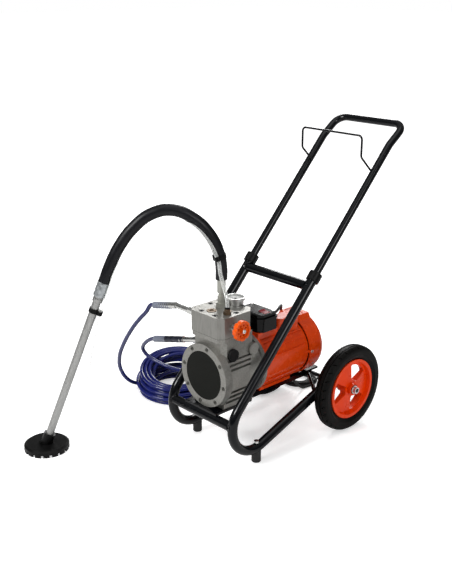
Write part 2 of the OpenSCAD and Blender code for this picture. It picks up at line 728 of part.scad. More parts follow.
// Pressure gauge standing on the head
module gauge_case() {
    color("#b8b9b6") {
        translate([gauge_at[0], gauge_at[1], head_top_z - 12]) cylinder(d = 12, h = 14, $fn = 32);
        translate([gauge_at[0], gauge_at[1], gauge_z]) difference() {
            union() {
                cylinder(d = gauge_d - 8, h = dial_floor);
                translate([0, 0, dial_floor - 1]) cylinder(d = gauge_d, h = 8);
            }
            translate([0, 0, dial_floor]) cylinder(d = gauge_d - 6, h = 20);
        }
    }
}

dial_floor = 13;
needle_pivot_z = gauge_z + dial_floor;
module gauge_needle() {
    color("black") translate([gauge_at[0], gauge_at[1], needle_pivot_z]) {
        translate([0, 0, 0.4]) cylinder(d = 6, h = 2.6, $fn = 32);
        translate([0, 0, 2]) rotate([0, 0, -135]) translate([-6, -0.7, 0]) cube([gauge_d / 2 - 0.5,
            1.4, 0.8]);
    }
}

module gauge_lens() {
    color("#dfe8ea", 0.5) translate([gauge_at[0], gauge_at[1], gauge_z + dial_floor + 4.3])
        cylinder(d = gauge_d - 6.1, h = 2);
}

// ---------- motor ----------
// Ribbed housing: grouped ribs above and below a smooth flank, terminal pad on top, feet below
module motor_housing() {
    back = seam_y - flange_y;
    color("#e8420f") difference() {
        union() {
            along_y([0, flange_y, shaft_z], 2 * motor_core_r, back);
            along_y([0, flange_y, shaft_z], 2 * motor_r + 2, 8);
            for (a = motor_rib_angles) translate([0, flange_y, shaft_z]) rotate([0, a, 0])
                translate([motor_core_r - 2, 0, -2.2]) cube([motor_r - motor_core_r + 2,
                    back - cover_gap, 4.4]);
            // Smooth raised flanks
            for (side = [0, 180]) translate([0, flange_y, shaft_z]) rotate([0, side, 0])
                intersection() {
                    along_y([0, 0, 0], 2 * motor_r - 1, back - cover_gap);
                    translate([50, 0, -26]) cube([60, back, 52]);
                }
            // Bosses on the flanks that the fan cover is screwed to
            for (side = SIDES) along_y([side * (motor_r - 5), seam_y - 14, shaft_z], 10, 14, 32);
            // Pad under the terminal box
            translate([-box_half_w + 6, box_y0 - 2, shaft_z + 40])
                cube([2 * box_half_w - 12, box_y1 - box_y0 + 4, box_z0 - shaft_z - 40]);
            // Foot block on the base plate
            translate([-40, flange_y + 20, plate_top_z]) cube([80, back - 50, 9]);
            translate([-26, flange_y + 20, plate_top_z]) cube([52, back - 50, 22]);
        }
        for (i = [4 : 7]) translate([base_bolt_places[i][0], base_bolt_places[i][1], plate_top_z - 1])
            cylinder(d = 8.4, h = 20, $fn = 32);
        along_y([0, flange_y - 1, shaft_z], 2 * (motor_core_r - housing_wall), back + 2);
    }
}
// The ribs end short of the fan cover
cover_gap = 9;
motor_rib_angles = [for (base = [-62, -48, -34, 34, 48, 62, 76, 90, 104, 118, 132, 146, 214, 228]) base];

// Wound stator pressed in the housing
module stator() {
    color("#7a4a2c") difference() {
        along_y([0, flange_y + 25, shaft_z], 2 * (motor_core_r - housing_wall) - 0.2, 110);
        along_y([0, flange_y + 24, shaft_z], 2 * (rotor_r + air_gap), 112);
    }
}

eccentric_throw = 4;
eccentric_d = 56;
bearing_seat_y = case_back_y - 13;
// Shaft with rotor core, pump eccentric and cooling fan
module rotor() {
    color("#9a9a98") {
        along_y([0, case_y + 1, shaft_z], 20, 20);
        along_y([0, case_y + 20, shaft_z], shaft_d, fan_back_y - case_y - 32);
        along_y([0, head_mid_y - 20, shaft_z + eccentric_throw], eccentric_d, 40);
        along_y([0, flange_y + 27, shaft_z], 2 * rotor_r, 106);
        // Fan hub, back plate and blades
        along_y([0, seam_y + 8, shaft_z], 46, 26);
        along_y([0, seam_y + 8, shaft_z], 2 * fan_r, 2.5);
        for (i = [0 : 7]) translate([0, seam_y + 9, shaft_z]) rotate([0, i * 45, 0])
            translate([20, 0, -1]) cube([fan_r - 20, 24, 2]);
    }
}
fan_r = 66;

// Ball bearings at the cover, the bearing wall and the motor's back end-shield
module bearings() {
    color("#c9c9c7") {
        difference() {
            along_y([0, case_y - 3.8, shaft_z], 33.8, 14);
            along_y([0, case_y - 5, shaft_z], 20 + 2 * shaft_gap, 20);
        }
        difference() {
            along_y([0, bearing_seat_y, shaft_z], bearing_d - 0.2, 14);
            along_y([0, bearing_seat_y - 1, shaft_z], shaft_d + 2 * shaft_gap, 16);
        }
        difference() {
            along_y([0, seam_y - 8, shaft_z], 2 * (motor_core_r - housing_wall) - 0.2, 8);
            along_y([0, seam_y - 9, shaft_z], shaft_d + 2 * shaft_gap, 12);
        }
    }
}

// Fan cover: drawn cup with a slotted back, and a raised saddle on top with the vent slots
saddle_rise = 5;
module fan_cover() {
    len = fan_back_y - seam_y;
    color("#e2400f") translate([0, seam_y, shaft_z]) rotate([-90, 0, 0]) difference() {
        union() {
            rotate_extrude($fn = 96) polygon([
                [0, 0], [fan_cover_r, 0], [fan_cover_r, len - 14], [fan_cover_r - 3, len - 5],
                [fan_cover_r - 12, len], [0, len]]);
            linear_extrude(len - 9) polygon([
                [-44, -fan_cover_r + 16], [-32, -fan_cover_r - saddle_rise], [32,
                    -fan_cover_r - saddle_rise],
                [44, -fan_cover_r + 16]]);
        }
        translate([0, 0, -1]) rotate_extrude($fn = 96) polygon([
            [0, 0], [fan_cover_r - 3, 0], [fan_cover_r - 3, len - 14], [fan_cover_r - 6, len - 6],
            [fan_cover_r - 13, len - 2], [0, len - 2]]);
        for (r = [20 : 12 : 68]) for (q = [0 : 3]) rotate([0, 0, q * 90 + 8]) translate([0, 0, len - 8])
            rotate_extrude(angle = 74) translate([r, 0]) square([6, 12]);
        for (x = [-24 : 8 : 24]) translate([x - 2, -fan_cover_r - saddle_rise - 2, 10]) cube([4, 18,
            len - 34]);
    }
}

// Terminal box on the motor
module box_outline(inset) {
    offset(r = 8) offset(delta = -8) polygon([
        [-box_half_w + inset, box_y0 + inset], [box_half_w - 16, box_y0 + inset],
        [box_half_w - inset, box_y0 + 16], [box_half_w - inset, box_y1 - inset],
        [-box_half_w + inset, box_y1 - inset]]);
}

module terminal_box() {
    color("#141414") difference() {
        translate([0, 0, box_z0]) linear_extrude(box_z1 - box_z0) box_outline(1.5);
        translate([0, 0, box_z0 + 4]) linear_extrude(box_z1 - box_z0) offset(delta = -3) box_outline(1.5);
    }
}

switch_at = [28, box_y0 + 40];
switch_z = box_z1 + lid_h - 5;
switch_tilt = 8;
module box_lid() {
    color("#101010") {
        difference() {
            union() {
                translate([0, 0, box_z1]) linear_extrude(6) box_outline(0);
                translate([0, 0, box_z1 + 6]) linear_extrude(lid_h - 6) offset(delta = -5) box_outline(0);
            }
            translate([switch_at[0] - 14.2, switch_at[1] - 11.2, box_z1 - 1]) cube([28.4, 22.4, lid_h + 4]);
            translate([0, 0, box_z1 - 1]) linear_extrude(lid_h - 3) offset(delta = -9) box_outline(0);
        }
        // Pivot pin of the rocker
        along_y([switch_at[0], switch_at[1] - 12, switch_z], 3, 24, 24);
    }
}

// Rocker with a hollowed top, pivoting on its pin; one end is pressed down at rest
module rocker_switch() {
    color("#a81d24") translate([switch_at[0], switch_at[1] + 11, switch_z]) rotate([90, switch_tilt, 0])
        linear_extrude(22) difference() {
            polygon([[-12, -3], [-12.8, 3], [-12.6, 7], [-6, 5.2], [0, 4.6], [6, 5.2], [12.6, 7], [12.8, 3],
                [12, -3], [0, -7]]);
            circle(d = 3 + 2 * axle_gap, $fn = 24);
        }
}

module capacitor_cover() {
    color("#e8420f") translate([0, 0, shaft_z + 60]) difference() {
        linear_extrude(52) hull() {
            translate([36, box_y1 + 22]) circle(r = 19);
            translate([36, seam_y - 26]) circle(r = 19);
        }
        translate([0, 0, -shaft_z - 60]) along_y([0, flange_y, shaft_z], 2 * motor_r + 0.4,
            seam_y - flange_y);
    }
}

// Tapered strain relief on the box's back
gland_at = [-8, box_y1 - 1.5, box_z0 + 16];
gland_len = 32;
module lead_gland() {
    color("#101010") translate(gland_at) rotate([-90, 0, 0]) {
        cylinder(d = 20, h = 7, $fn = 32);
        translate([0, 0, 7]) cylinder(d1 = 17, d2 = 11, h = gland_len - 7, $fn = 32);
    }
}

// ---------- suction set ----------
// Route points are given from the axle, then carried to the origin
function from_axle(p) = [for (q = p) [q[0], q[1] + axle_y, q[2]]];
function last_of(p) = p[len(p) - 1];
function start_dir(p) = unit(p[1] - p[0]);
function end_dir(p) = unit(last_of(p) - p[len(p) - 2]);
// Cords leave fittings and coils, and reach them, in a straight run one diameter long
function run_on(p, dir, d) = [p, p + d * dir];
function run_up(p, dir, d) = [p - d * dir, p];

suction_route = from_axle([
    [-14, -333, 488], [-14, -333, 520], [-17, -340, 562], [-30, -358, 610], [-56, -388, 652], [-92,
        -430, 677],
    [-126, -472, 668], [-152, -508, 636], [-174, -540, 588], [-190, -563, 534], [-200, -577, 490]]);
tube_top = last_of(suction_route) + 46 * end_dir(suction_route);
tube_foot = [-326, axle_y - 706, 22];
tube_run = unit(tube_top - tube_foot);
module suction_hose() color("#17171b") swept_tube(suction_route, suction_hose_d, 12);

// Crimp sleeve on the hose's lower end, then the aluminium tube
module suction_tube() {
    color("#b9bab8") {
        bar3(tube_top, last_of(suction_route), 25);
        bar3(tube_foot, tube_top, suction_tube_d);
        bar3(tube_top - 10 * tube_run, tube_top, 27);
    }
}

// Disc foot with a notched skirt, and a socket that leans with the tube
strainer_at = [tube_foot[0] - 5, tube_foot[1] + 2];
strainer_slots = 16;
module strainer() {
    r = strainer_d / 2;
    color("#111111") difference() {
        union() {
            translate([strainer_at[0], strainer_at[1], 0]) rotate_extrude($fn = 96) polygon([
                [0, 9], [r - 4, 9], [r - 4, 0], [r, 0], [r, 14], [r - 6, 18], [20, 18], [20, 27], [0, 27]]);
            bar3(tube_foot - 2 * tube_run, tube_foot + 28 * tube_run, suction_tube_d + 10);
        }
        bar3(tube_foot, tube_foot + 40 * tube_run, suction_tube_d + 0.2);
        translate([strainer_at[0], strainer_at[1], 0]) for (i = [0 : strainer_slots - 1])
            rotate([0, 0, i * 360 / strainer_slots]) translate([r - 8, -3.5, -1]) cube([16, 7, 8]);
    }
}

return_route = from_axle([
    [42, -364, 427], [42, -364, 438], [40, -365, 457], [31, -367, 487], [17, -366, 520], [3, -358, 544],
    [-3, -360, 558], [-15, -376, 597],
    [-40, -402, 636], [-64, -422, 648], [-89, -440, 650], [-115, -471, 634], [-139, -499, 609], [-157,
        -524, 578],
    [-164, -548, 545], [-173, -562, 515], [-180, -572, 481], [-190, -580, 451], [-200, -588, 421],
    [-210, -596, 392], [-216, -601, 360], [-221, -606, 325], [-226, -613, 288], [-231, -619, 250],
    [-237, -625, 212], [-243, -632, 174], [-246, -637, 136], [-246, -639, 100]]);
module return_tube() color("#e8ecea", 0.6) swept_tube(return_route, return_tube_d, 8);

// Twin clips that hold a straight stretch of the return tube, which starts at its point number beside,
// to the suction hose and lower down to the suction tube
clip_gap = 0.3;
module clip_ring(at, run, d, h) translate(at) rotate([0, acos(run[2]), atan2(run[1], run[0])])
    cylinder(d = d, h = h, center = true);
module twin_clip(at, run, d, beside) {
    from = return_route[beside];
    to = return_route[beside + 1];
    middle = (from + to) / 2;
    difference() {
        union() {
            clip_ring(at, run, d + 5, 12);
            clip_ring(middle, unit(to - from), return_tube_d + 6, 12);
            bar3(at, middle, 8);
        }
        clip_ring(at, run, d + 2 * clip_gap, 30);
        clip_ring(middle, unit(to - from), return_tube_d + 2 * clip_gap, 12.5);
    }
}

upper_clip_run = unit(suction_route[2] - suction_route[1]);
module tube_clips() {
    color("#141414") {
        twin_clip(suction_route[1] + 31 * upper_clip_run, upper_clip_run, suction_hose_d, 5);
        twin_clip(tube_top - 37 * tube_run, tube_run, suction_tube_d, 18);
    }
}

// ---------- coils ----------
// Loops spiral in and out again between the inner and outer radius, one layer up at each reversal.
// c: centre, r: outer radius, a: start angle, s: 1 winds left, -1 winds right, n: loops,
// per: loops in a layer, pitch: spacing of the loops, rise: spacing of the layers, d: cord diameter
coil_steps = 24;
function coil_radius(t, r, per, pitch) =
    let (f = t / per - 2 * floor(t / per / 2)) r - pitch * per * (f <= 1 ? f : 2 - f);
function coil_layer(t, per) = let (k = round(t / per), f = t - k * per)
    k == 0 ? 0 : abs(f) < 0.25 ? k - 0.5 + 2 * f : f < 0 ? k - 1 : k;
// fan: how much further apart the layers lie on the side away from the angle fan_from
fan_from = -43;
function coil_point(t, c, r, a, s, per, pitch, rise, fan, d) =
    let (q = a + s * 360 * t, rr = coil_radius(t, r, per, pitch),
        spread = fan * (1 - cos(q - fan_from)) / 2)
    [c[0] + rr * cos(q), c[1] + rr * sin(q), d / 2 + (rise + spread) * coil_layer(t, per)];
function coil_heading(q, s) = s * [-sin(q), cos(q), 0];
function coil_route(c, r, a, s, n, per, pitch, rise, fan, d) = let (
    body = [for (i = [0 : round(n * coil_steps)])
        coil_point(i / coil_steps, c, r, a, s, per, pitch, rise, fan, d)],
    first = coil_heading(a, s), end = coil_heading(a + s * 360 * n, s))
    concat([body[0] - d * first], body, [last_of(body) + d * end]);
// Least distance of the cord's surface from itself, between points over half a loop apart
function self_gap(p, d) = min([for (i = [0 : len(p) - 1]) for (j = [i + coil_steps / 2 : 1 : len(p) - 1])
    norm(p[i] - p[j])]) - d;

// ---------- high pressure hose ----------
hose_coil_at = [-372, axle_y - 195];
hose_coil_r = 124;
hose_coil_start = 200;
hose_loops = 15.375;
hose_per_layer = 4;
hose_fan = 16;
hose_coil_route = coil_route(hose_coil_at, hose_coil_r, hose_coil_start, -1, hose_loops, hose_per_layer,
    hp_hose_d + 0.8, hp_hose_d + 1, hose_fan, hp_hose_d);

hose_guard_from = [-165, control_y, control_z];
hose_lead_start = [-248, axle_y - 376, 363];
lead_route = concat(
    run_on(hose_lead_start, unit(hose_lead_start - hose_guard_from), hp_hose_d), from_axle([
    [-270, -386, 341], [-294, -392, 314], [-318, -396, 286], [-341, -397, 257], [-363, -396, 228],
    [-384, -393, 199], [-404, -388, 170], [-422, -379, 141], [-437, -368, 113], [-449, -353, 86],
    [-456, -336, 60], [-459, -315, 37], [-463, -290, 20]]),
    run_up(hose_coil_route[0], start_dir(hose_coil_route), hp_hose_d));
tail_end = [-360, axle_y - 288, 202];
tail_dir = unit([-248, axle_y - 296, 236] - tail_end);
tail_route = concat(
    run_on(last_of(hose_coil_route), end_dir(hose_coil_route), hp_hose_d), from_axle([
    [-292, -110, 78], [-289, -124, 79], [-291, -142, 80], [-298, -168, 80], [-311, -196, 82], [-333,
        -220, 86],
    [-362, -236, 92],
    [-394, -247, 99], [-423, -256, 109], [-441, -263, 121], [-446, -269, 136], [-436, -275, 153],
    [-418, -281, 169], [-395, -285, 186]]), run_up(tail_end, tail_dir, hp_hose_d));
module hose_lead() color("#1c2478") swept_tube(lead_route, hp_hose_d, 10);
module hose_coil() color("#1c2478") swept_tube(hose_coil_route, hp_hose_d, 6);
module hose_tail() color("#1c2478") swept_tube(tail_route, hp_hose_d, 10);
echo(hose_coil_self_gap = self_gap(hose_coil_route, hp_hose_d));

// Swivel nuts, crimp sleeves and guard sleeves on both ends of the hose
guard_len = 158;
// The free end's swivel nut rests against the left hoop
tail_fitting_len = 234;
module hose_ends() {
    color("silver") {
        difference() {
            translate([outlet_face_x + 16, control_y, control_z]) rotate([0, -90, 0]) hex_prism(19, 22);
            along_x([outlet_face_x, control_y, control_z], 14 + 2 * clip_gap, 30, 48);
        }
        along_x([outlet_face_x - 34, control_y, control_z], 15, 34 - clip_gap, 48);
        bar3([outlet_face_x - 34, control_y, control_z], hose_guard_from, 15);
        bar3(hose_guard_from, hose_lead_start, 18);
    }
    color("#2b2b2e") bar3(tail_end, tail_end + guard_len * tail_dir, 18);
    color("silver") {
        bar3(tail_end + guard_len * tail_dir, tail_end + (guard_len + 50) * tail_dir, 15);
        bar3(tail_end + (guard_len + 50) * tail_dir, tail_end + tail_fitting_len * tail_dir, 19);
    }
}

// ---------- mains lead ----------
lead_coil_at = [-150, axle_y + 135];
lead_coil_r = 58;
lead_coil_start = -10;
lead_loops = 5;
lead_per_layer = 3;
lead_coil_route = coil_route(lead_coil_at, lead_coil_r, lead_coil_start, 1, lead_loops, lead_per_layer,
    lead_d + 0.7, lead_d + 0.7, 0, lead_d);
gland_end = gland_at + [0, gland_len, 0];
power_route = concat([gland_end], from_axle([
    [-8, -136, 343], [-10, -122, 346], [-16, -105, 351], [-28, -86, 348], [-46, -66, 333], [-66, -46, 308],
    [-82, -28, 278], [-92, -12, 246], [-98, 0, 212], [-101, 10, 177], [-102, 20, 142], [-102, 30, 107],
    [-101, 42, 72], [-99, 58, 40], [-97, 78, 18], [-96, 98, 5]]),
    run_up(lead_coil_route[0], start_dir(lead_coil_route), lead_d));
plug_at = [-94, axle_y + 214, 20];
plug_route = concat(run_on(last_of(lead_coil_route), end_dir(lead_coil_route), lead_d),
    from_axle([[-98, 160, 13], [-96, 180, 17]]), run_up(plug_at, [0, 1, 0], lead_d));
module power_lead() color("#121212") swept_tube(power_route, lead_d, 8);
module lead_coil() color("#121212") swept_tube(lead_coil_route, lead_d, 6);
module plug_lead() color("#121212") swept_tube(plug_route, lead_d, 8);
echo(lead_coil_self_gap = self_gap(lead_coil_route, lead_d));

// Round two-pin earthed plug lying beside its coil
plug_d = 38;
module mains_plug() {
    run = end_dir(plug_route);
    color("#121212") translate(plug_at) rotate([-90, 0, 0]) {
        cylinder(d1 = 15, d2 = 26, h = 18, $fn = 48);
        translate([0, 0, 18]) cylinder(d = plug_d, h = 26);
        for (x = [-9.5, 9.5]) translate([x, 0, 44]) cylinder(d = 4.8, h = 19, $fn = 24);
    }
}

left_hoop();
right_hoop();
front_crossbar();
brace();
base_plate();
rear_struts();
axle_brackets();
axle();
axle_nuts();
feet();
frame_bolts();
tyre_left();
tyre_right();
rim_left();
rim_right();
handle();
hanger_rod();
collar_left();
collar_right();
crankcase();
front_cover();
cover_bolts();
cover_plate();
head_gasket();
pump_head();
head_bolts();
piston();
valve_plug();
suction_fitting();
return_fitting();
outlet_fitting();
oil_plug();
regulator_stem();
handwheel();
gauge_case();
gauge_needle();
gauge_lens();
motor_housing();
stator();
rotor();
bearings();
fan_cover();
terminal_box();
box_lid();
rocker_switch();
capacitor_cover();
lead_gland();
suction_hose();
suction_tube();
strainer();
return_tube();
tube_clips();
hose_ends();
hose_lead();
hose_coil();
hose_tail();
power_lead();
lead_coil();
plug_lead();
mains_plug();
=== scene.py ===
"""Airless paint sprayer: an electric diaphragm pump on a two-wheeled trolley, dressed for looks.

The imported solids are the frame. Each section below dresses one piece, or a group of like pieces, in
the order in which the machine is put together. Sizes are in metres, in the frame of the solids.
"""
import math

import bmesh
import bpy
from mathutils import Matrix, Vector


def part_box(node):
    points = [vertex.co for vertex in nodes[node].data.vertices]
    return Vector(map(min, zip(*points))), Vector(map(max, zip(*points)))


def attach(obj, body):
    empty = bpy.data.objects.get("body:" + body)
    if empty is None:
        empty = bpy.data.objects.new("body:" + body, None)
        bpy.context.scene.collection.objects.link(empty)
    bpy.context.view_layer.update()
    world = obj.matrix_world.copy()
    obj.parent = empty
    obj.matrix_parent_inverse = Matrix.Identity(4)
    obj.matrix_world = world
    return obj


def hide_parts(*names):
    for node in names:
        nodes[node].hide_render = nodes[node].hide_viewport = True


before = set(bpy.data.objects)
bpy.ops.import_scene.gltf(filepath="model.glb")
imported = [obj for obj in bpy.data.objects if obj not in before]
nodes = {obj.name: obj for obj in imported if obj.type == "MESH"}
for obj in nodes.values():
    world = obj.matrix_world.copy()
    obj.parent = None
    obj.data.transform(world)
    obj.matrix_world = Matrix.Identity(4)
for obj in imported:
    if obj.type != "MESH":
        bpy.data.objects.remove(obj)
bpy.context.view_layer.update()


# ---------- Camera ----------
# A camera on a stand in front of the machine's right front corner, at a standing person's chest height.
# Its lens is a short portrait lens with no shift.
camera_at = (1.619, -1.7623, 1.2322)
camera_azimuth_deg = 46.83
camera_elevation_deg = 19.31
camera_lens_mm = 54.94
camera_sensor_mm = 36.0

camera_data = bpy.data.cameras.new("camera")
camera_data.lens = camera_lens_mm
camera_data.sensor_width = camera_sensor_mm
camera = bpy.data.objects.new("camera", camera_data)
camera.location = camera_at
camera.rotation_euler = (math.radians(90 - camera_elevation_deg), 0.0, math.radians(camera_azimuth_deg))
bpy.context.scene.collection.objects.link(camera)
bpy.context.scene.camera = camera


# ---------- Suction hose ----------
# Wide smooth rubber hose from the pump's inlet over to the suction tube. Extruded black rubber with a
# satin skin, pushed over a hose tail at one end and crimped to the tube at the other.
def node_middle(name):
    """The middle of a solid's box."""
    low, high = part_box(name)
    return [(a + b) / 2 for a, b in zip(low, high)]


axle_y = round(node_middle("axle")[1], 6)


def from_axle(route_mm):
    """Carries route points, in millimetres from the wheel axle, to metres in the frame."""
    return [(x / 1000, y / 1000 + axle_y, z / 1000) for x, y, z in route_mm]


def bent_tube(name, route, diameter, roundness=8):
    """A round cord: one open smooth spline through the route's points."""
    line = bpy.data.curves.new(name, "CURVE")
    line.dimensions = "3D"
    line.bevel_depth = diameter / 2
    line.bevel_resolution = roundness
    line.resolution_u = 6
    line.use_fill_caps = True
    spline = line.splines.new("BEZIER")
    spline.bezier_points.add(len(route) - 1)
    for knot, place in zip(spline.bezier_points, route):
        knot.co = place
        knot.handle_left_type = "AUTO"
        knot.handle_right_type = "AUTO"
    cord = bpy.data.objects.new(name, line)
    bpy.context.scene.collection.objects.link(cord)
    return cord


def grain_group():
    """Shared surface grain: two close colours, a varying gloss and a fine bump from noise."""
    patch_low, patch_high, patch_detail = 0.3, 0.7, 5.0
    fine_detail, fine_height = 3.0, 0.0005
    group = bpy.data.node_groups.new("surface_grain", "ShaderNodeTree")
    for label, kind, value in (
        ("Colour", "NodeSocketColor", (0.5, 0.5, 0.5, 1)),
        ("Second colour", "NodeSocketColor", (0.5, 0.5, 0.5, 1)),
        ("Scale", "NodeSocketFloat", 200.0),
        ("Stretch", "NodeSocketVector", (1, 1, 1)),
        ("Gloss low", "NodeSocketFloat", 0.3),
        ("Gloss high", "NodeSocketFloat", 0.5),
        ("Bump", "NodeSocketFloat", 0.1),
        ("Bump scale", "NodeSocketFloat", 900.0),
    ):
        socket = group.interface.new_socket(label, in_out="INPUT", socket_type=kind)
        socket.default_value = value
    for label, kind in (("Colour", "NodeSocketColor"), ("Roughness", "NodeSocketFloat"),
                        ("Normal", "NodeSocketVector")):
        group.interface.new_socket(label, in_out="OUTPUT", socket_type=kind)
    add = group.nodes.new
    link = group.links.new
    inputs = add("NodeGroupInput")
    outputs = add("NodeGroupOutput")
    place = add("ShaderNodeTexCoord")
    stretch = add("ShaderNodeVectorMath")
    stretch.operation = "MULTIPLY"
    link(place.outputs["Object"], stretch.inputs[0])
    link(inputs.outputs["Stretch"], stretch.inputs[1])
    patches = add("ShaderNodeTexNoise")
    patches.inputs["Detail"].default_value = patch_detail
    link(stretch.outputs[0], patches.inputs["Vector"])
    link(inputs.outputs["Scale"], patches.inputs["Scale"])
    spread = add("ShaderNodeMapRange")
    spread.inputs["From Min"].default_value = patch_low
    spread.inputs["From Max"].default_value = patch_high
    link(patches.outputs[0], spread.inputs["Value"])
    blend = add("ShaderNodeMix")
    blend.data_type = "RGBA"
    link(spread.outputs[0], blend.inputs["Factor"])
    link(inputs.outputs["Colour"], blend.inputs[6])
    link(inputs.outputs["Second colour"], blend.inputs[7])
    link(blend.outputs[2], outputs.inputs["Colour"])
    gloss = add("ShaderNodeMapRange")
    link(spread.outputs[0], gloss.inputs["Value"])
    link(inputs.outputs["Gloss low"], gloss.inputs["To Min"])
    link(inputs.outputs["Gloss high"], gloss.inputs["To Max"])
    link(gloss.outputs[0], outputs.inputs["Roughness"])
    fine = add("ShaderNodeTexNoise")
    fine.inputs["Detail"].default_value = fine_detail
    link(stretch.outputs[0], fine.inputs["Vector"])
    link(inputs.outputs["Bump scale"], fine.inputs["Scale"])
    bump = add("ShaderNodeBump")
    bump.inputs["Distance"].default_value = fine_height
    link(fine.outputs[0], bump.inputs["Height"])
    link(inputs.outputs["Bump"], bump.inputs["Strength"])
    link(bump.outputs[0], outputs.inputs["Normal"])
    return group


surface_grain = grain_group()


def finish(name, colour, second, gloss, scale=60.0, stretch=(1, 1, 1), bump=0.1, bump_scale=900.0,
           **sockets):
    """A material: grain over two colours on a Principled shader, with further shader sockets by name.

    gloss is the lowest and the highest roughness.
    """
    material = bpy.data.materials.new(name)
    material.use_nodes = True
    tree = material.node_tree
    shader = tree.nodes["Principled BSDF"]
    grain = tree.nodes.new("ShaderNodeGroup")
    grain.node_tree = surface_grain
    for label, value in (("Colour", (*colour, 1)), ("Second colour", (*second, 1)),
                         ("Scale", scale), ("Stretch", stretch),
                         ("Gloss low", gloss[0]), ("Gloss high", gloss[1]),
                         ("Bump", bump), ("Bump scale", bump_scale)):
        grain.inputs[label].default_value = value
    tree.links.new(grain.outputs["Colour"], shader.inputs["Base Color"])
    tree.links.new(grain.outputs["Roughness"], shader.inputs["Roughness"])
    tree.links.new(grain.outputs["Normal"], shader.inputs["Normal"])
    for label, value in sockets.items():
        socket = label.replace("_", " ").title().replace("Ior", "IOR")
        shader.inputs[socket].default_value = value
    return material


def dress(material, *names):
    """Gives solids of the frame their finish."""
    for name in names:
        mesh = nodes[name].data
        mesh.materials.clear()
        mesh.materials.append(material)


suction_route = from_axle([
    (-14, -333, 488), (-14, -333, 520), (-17, -340, 562), (-30, -358, 610), (-56, -388, 652),
    (-92, -430, 677), (-126, -472, 668), (-152, -508, 636), (-174, -540, 588), (-190, -563, 534),
    (-200, -577, 490)])
suction_hose_d = 0.032
hose_rubber = finish("suction_hose_rubber", (0.0024, 0.0026, 0.0036), (0.0050, 0.0052, 0.0070),
                     (0.32, 0.44), scale=30, bump=0.05, bump_scale=500, specular_ior_level=0.22)
suction_hose = bent_tube("suction_hose_rubber", suction_route, suction_hose_d, roundness=10)
suction_hose.data.materials.append(hose_rubber)
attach(suction_hose, "trolley")
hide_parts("suction_hose")


# ---------- Suction tube and strainer foot ----------
# Drawn aluminium tube that stands in the paint bucket, crimped to the hose by a dull pressed-steel
# ferrule. Its foot is a moulded black disc with a slotted skirt, and moulded clips tie the tubes.
drawn_aluminium = finish("drawn_aluminium", (0.30, 0.30, 0.292), (0.37, 0.37, 0.362), (0.32, 0.42),
                         scale=90, stretch=(1, 1, 0.06), bump=0.12, bump_scale=1400, metallic=0.85)
dress(drawn_aluminium, "suction_tube")
ferrule_steel = finish("ferrule_steel", (0.32, 0.34, 0.35), (0.41, 0.43, 0.44), (0.28, 0.40),
                       scale=120, bump=0.05, bump_scale=900, metallic=0.8)


def round_sleeve(name, start, along, length, radius, rings, depth, material):
    """A sleeve round a hose or tube, with ring grooves rolled into it, from start on in one direction."""
    sides = 48
    cuts = 6 * rings
    smooth_deg = 50
    tiny = 1e-6
    bpy.ops.object.select_all(action="DESELECT")
    bpy.ops.mesh.primitive_cylinder_add(vertices=sides, radius=radius, depth=length, location=(0, 0, 0))
    sleeve = bpy.context.object
    sleeve.name = name
    bpy.ops.object.mode_set(mode="EDIT")
    for cut in range(1, cuts):
        bpy.ops.mesh.select_all(action="SELECT")
        cut_z = -length / 2 + length * cut / cuts
        bpy.ops.mesh.bisect(plane_co=(0, 0, cut_z), plane_no=(0, 0, 1))
    bpy.ops.object.mode_set(mode="OBJECT")
    for v in sleeve.data.vertices:
        share = (v.co.z / length + 0.5) * rings
        inset = depth * (1 - math.cos(2 * math.pi * share)) / 2
        if abs(abs(v.co.z) - length / 2) < tiny:
            inset = depth
        reach = math.hypot(v.co.x, v.co.y)
        v.co.x *= (reach - inset) / reach
        v.co.y *= (reach - inset) / reach
    sleeve.data.transform(Matrix.Translation((0, 0, length / 2)))
    sleeve.data.transform(Vector(along).to_track_quat("Z", "Y").to_matrix().to_4x4())
    sleeve.data.transform(Matrix.Translation(start))
    bpy.ops.object.shade_smooth_by_angle(angle=math.radians(smooth_deg))
    sleeve.data.materials.append(material)
    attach(sleeve, "trolley")


hose_end = Vector(suction_route[-1])
tube_run = (hose_end - Vector(suction_route[-2])).normalized()
ferrule_gap = 0.0005
ferrule_wall = 0.0008
round_sleeve("suction_ferrule", hose_end + ferrule_gap * tube_run, tube_run, length=0.040,
             radius=suction_hose_d / 2 + ferrule_wall, rings=2, depth=0.0008,
             material=ferrule_steel)
moulded_black = finish("moulded_black", (0.0022, 0.0022, 0.0022), (0.0045, 0.0045, 0.0045),
                       (0.30, 0.44), scale=80, bump=0.08, bump_scale=1500, specular_ior_level=0.12)
dress(moulded_black, "strainer", "tube_clips")


# ---------- Return tube ----------
# Thin clear soft tube from the bronze return fitting, held by clips to the suction hose and tube. Its
# open end hangs over the bucket, and a black collar grips it on the fitting.
def show_walls(material, through, edge):
    """Clear in the middle and denser at the outline, as the wall of a hollow tube looks."""
    slant_blend = 0.45
    tree = material.node_tree
    slant = tree.nodes.new("ShaderNodeLayerWeight")
    slant.inputs["Blend"].default_value = slant_blend
    density = tree.nodes.new("ShaderNodeMapRange")
    density.inputs["To Min"].default_value = through
    density.inputs["To Max"].default_value = edge
    tree.links.new(slant.outputs["Facing"], density.inputs["Value"])
    tree.links.new(density.outputs[0], tree.nodes["Principled BSDF"].inputs["Alpha"])


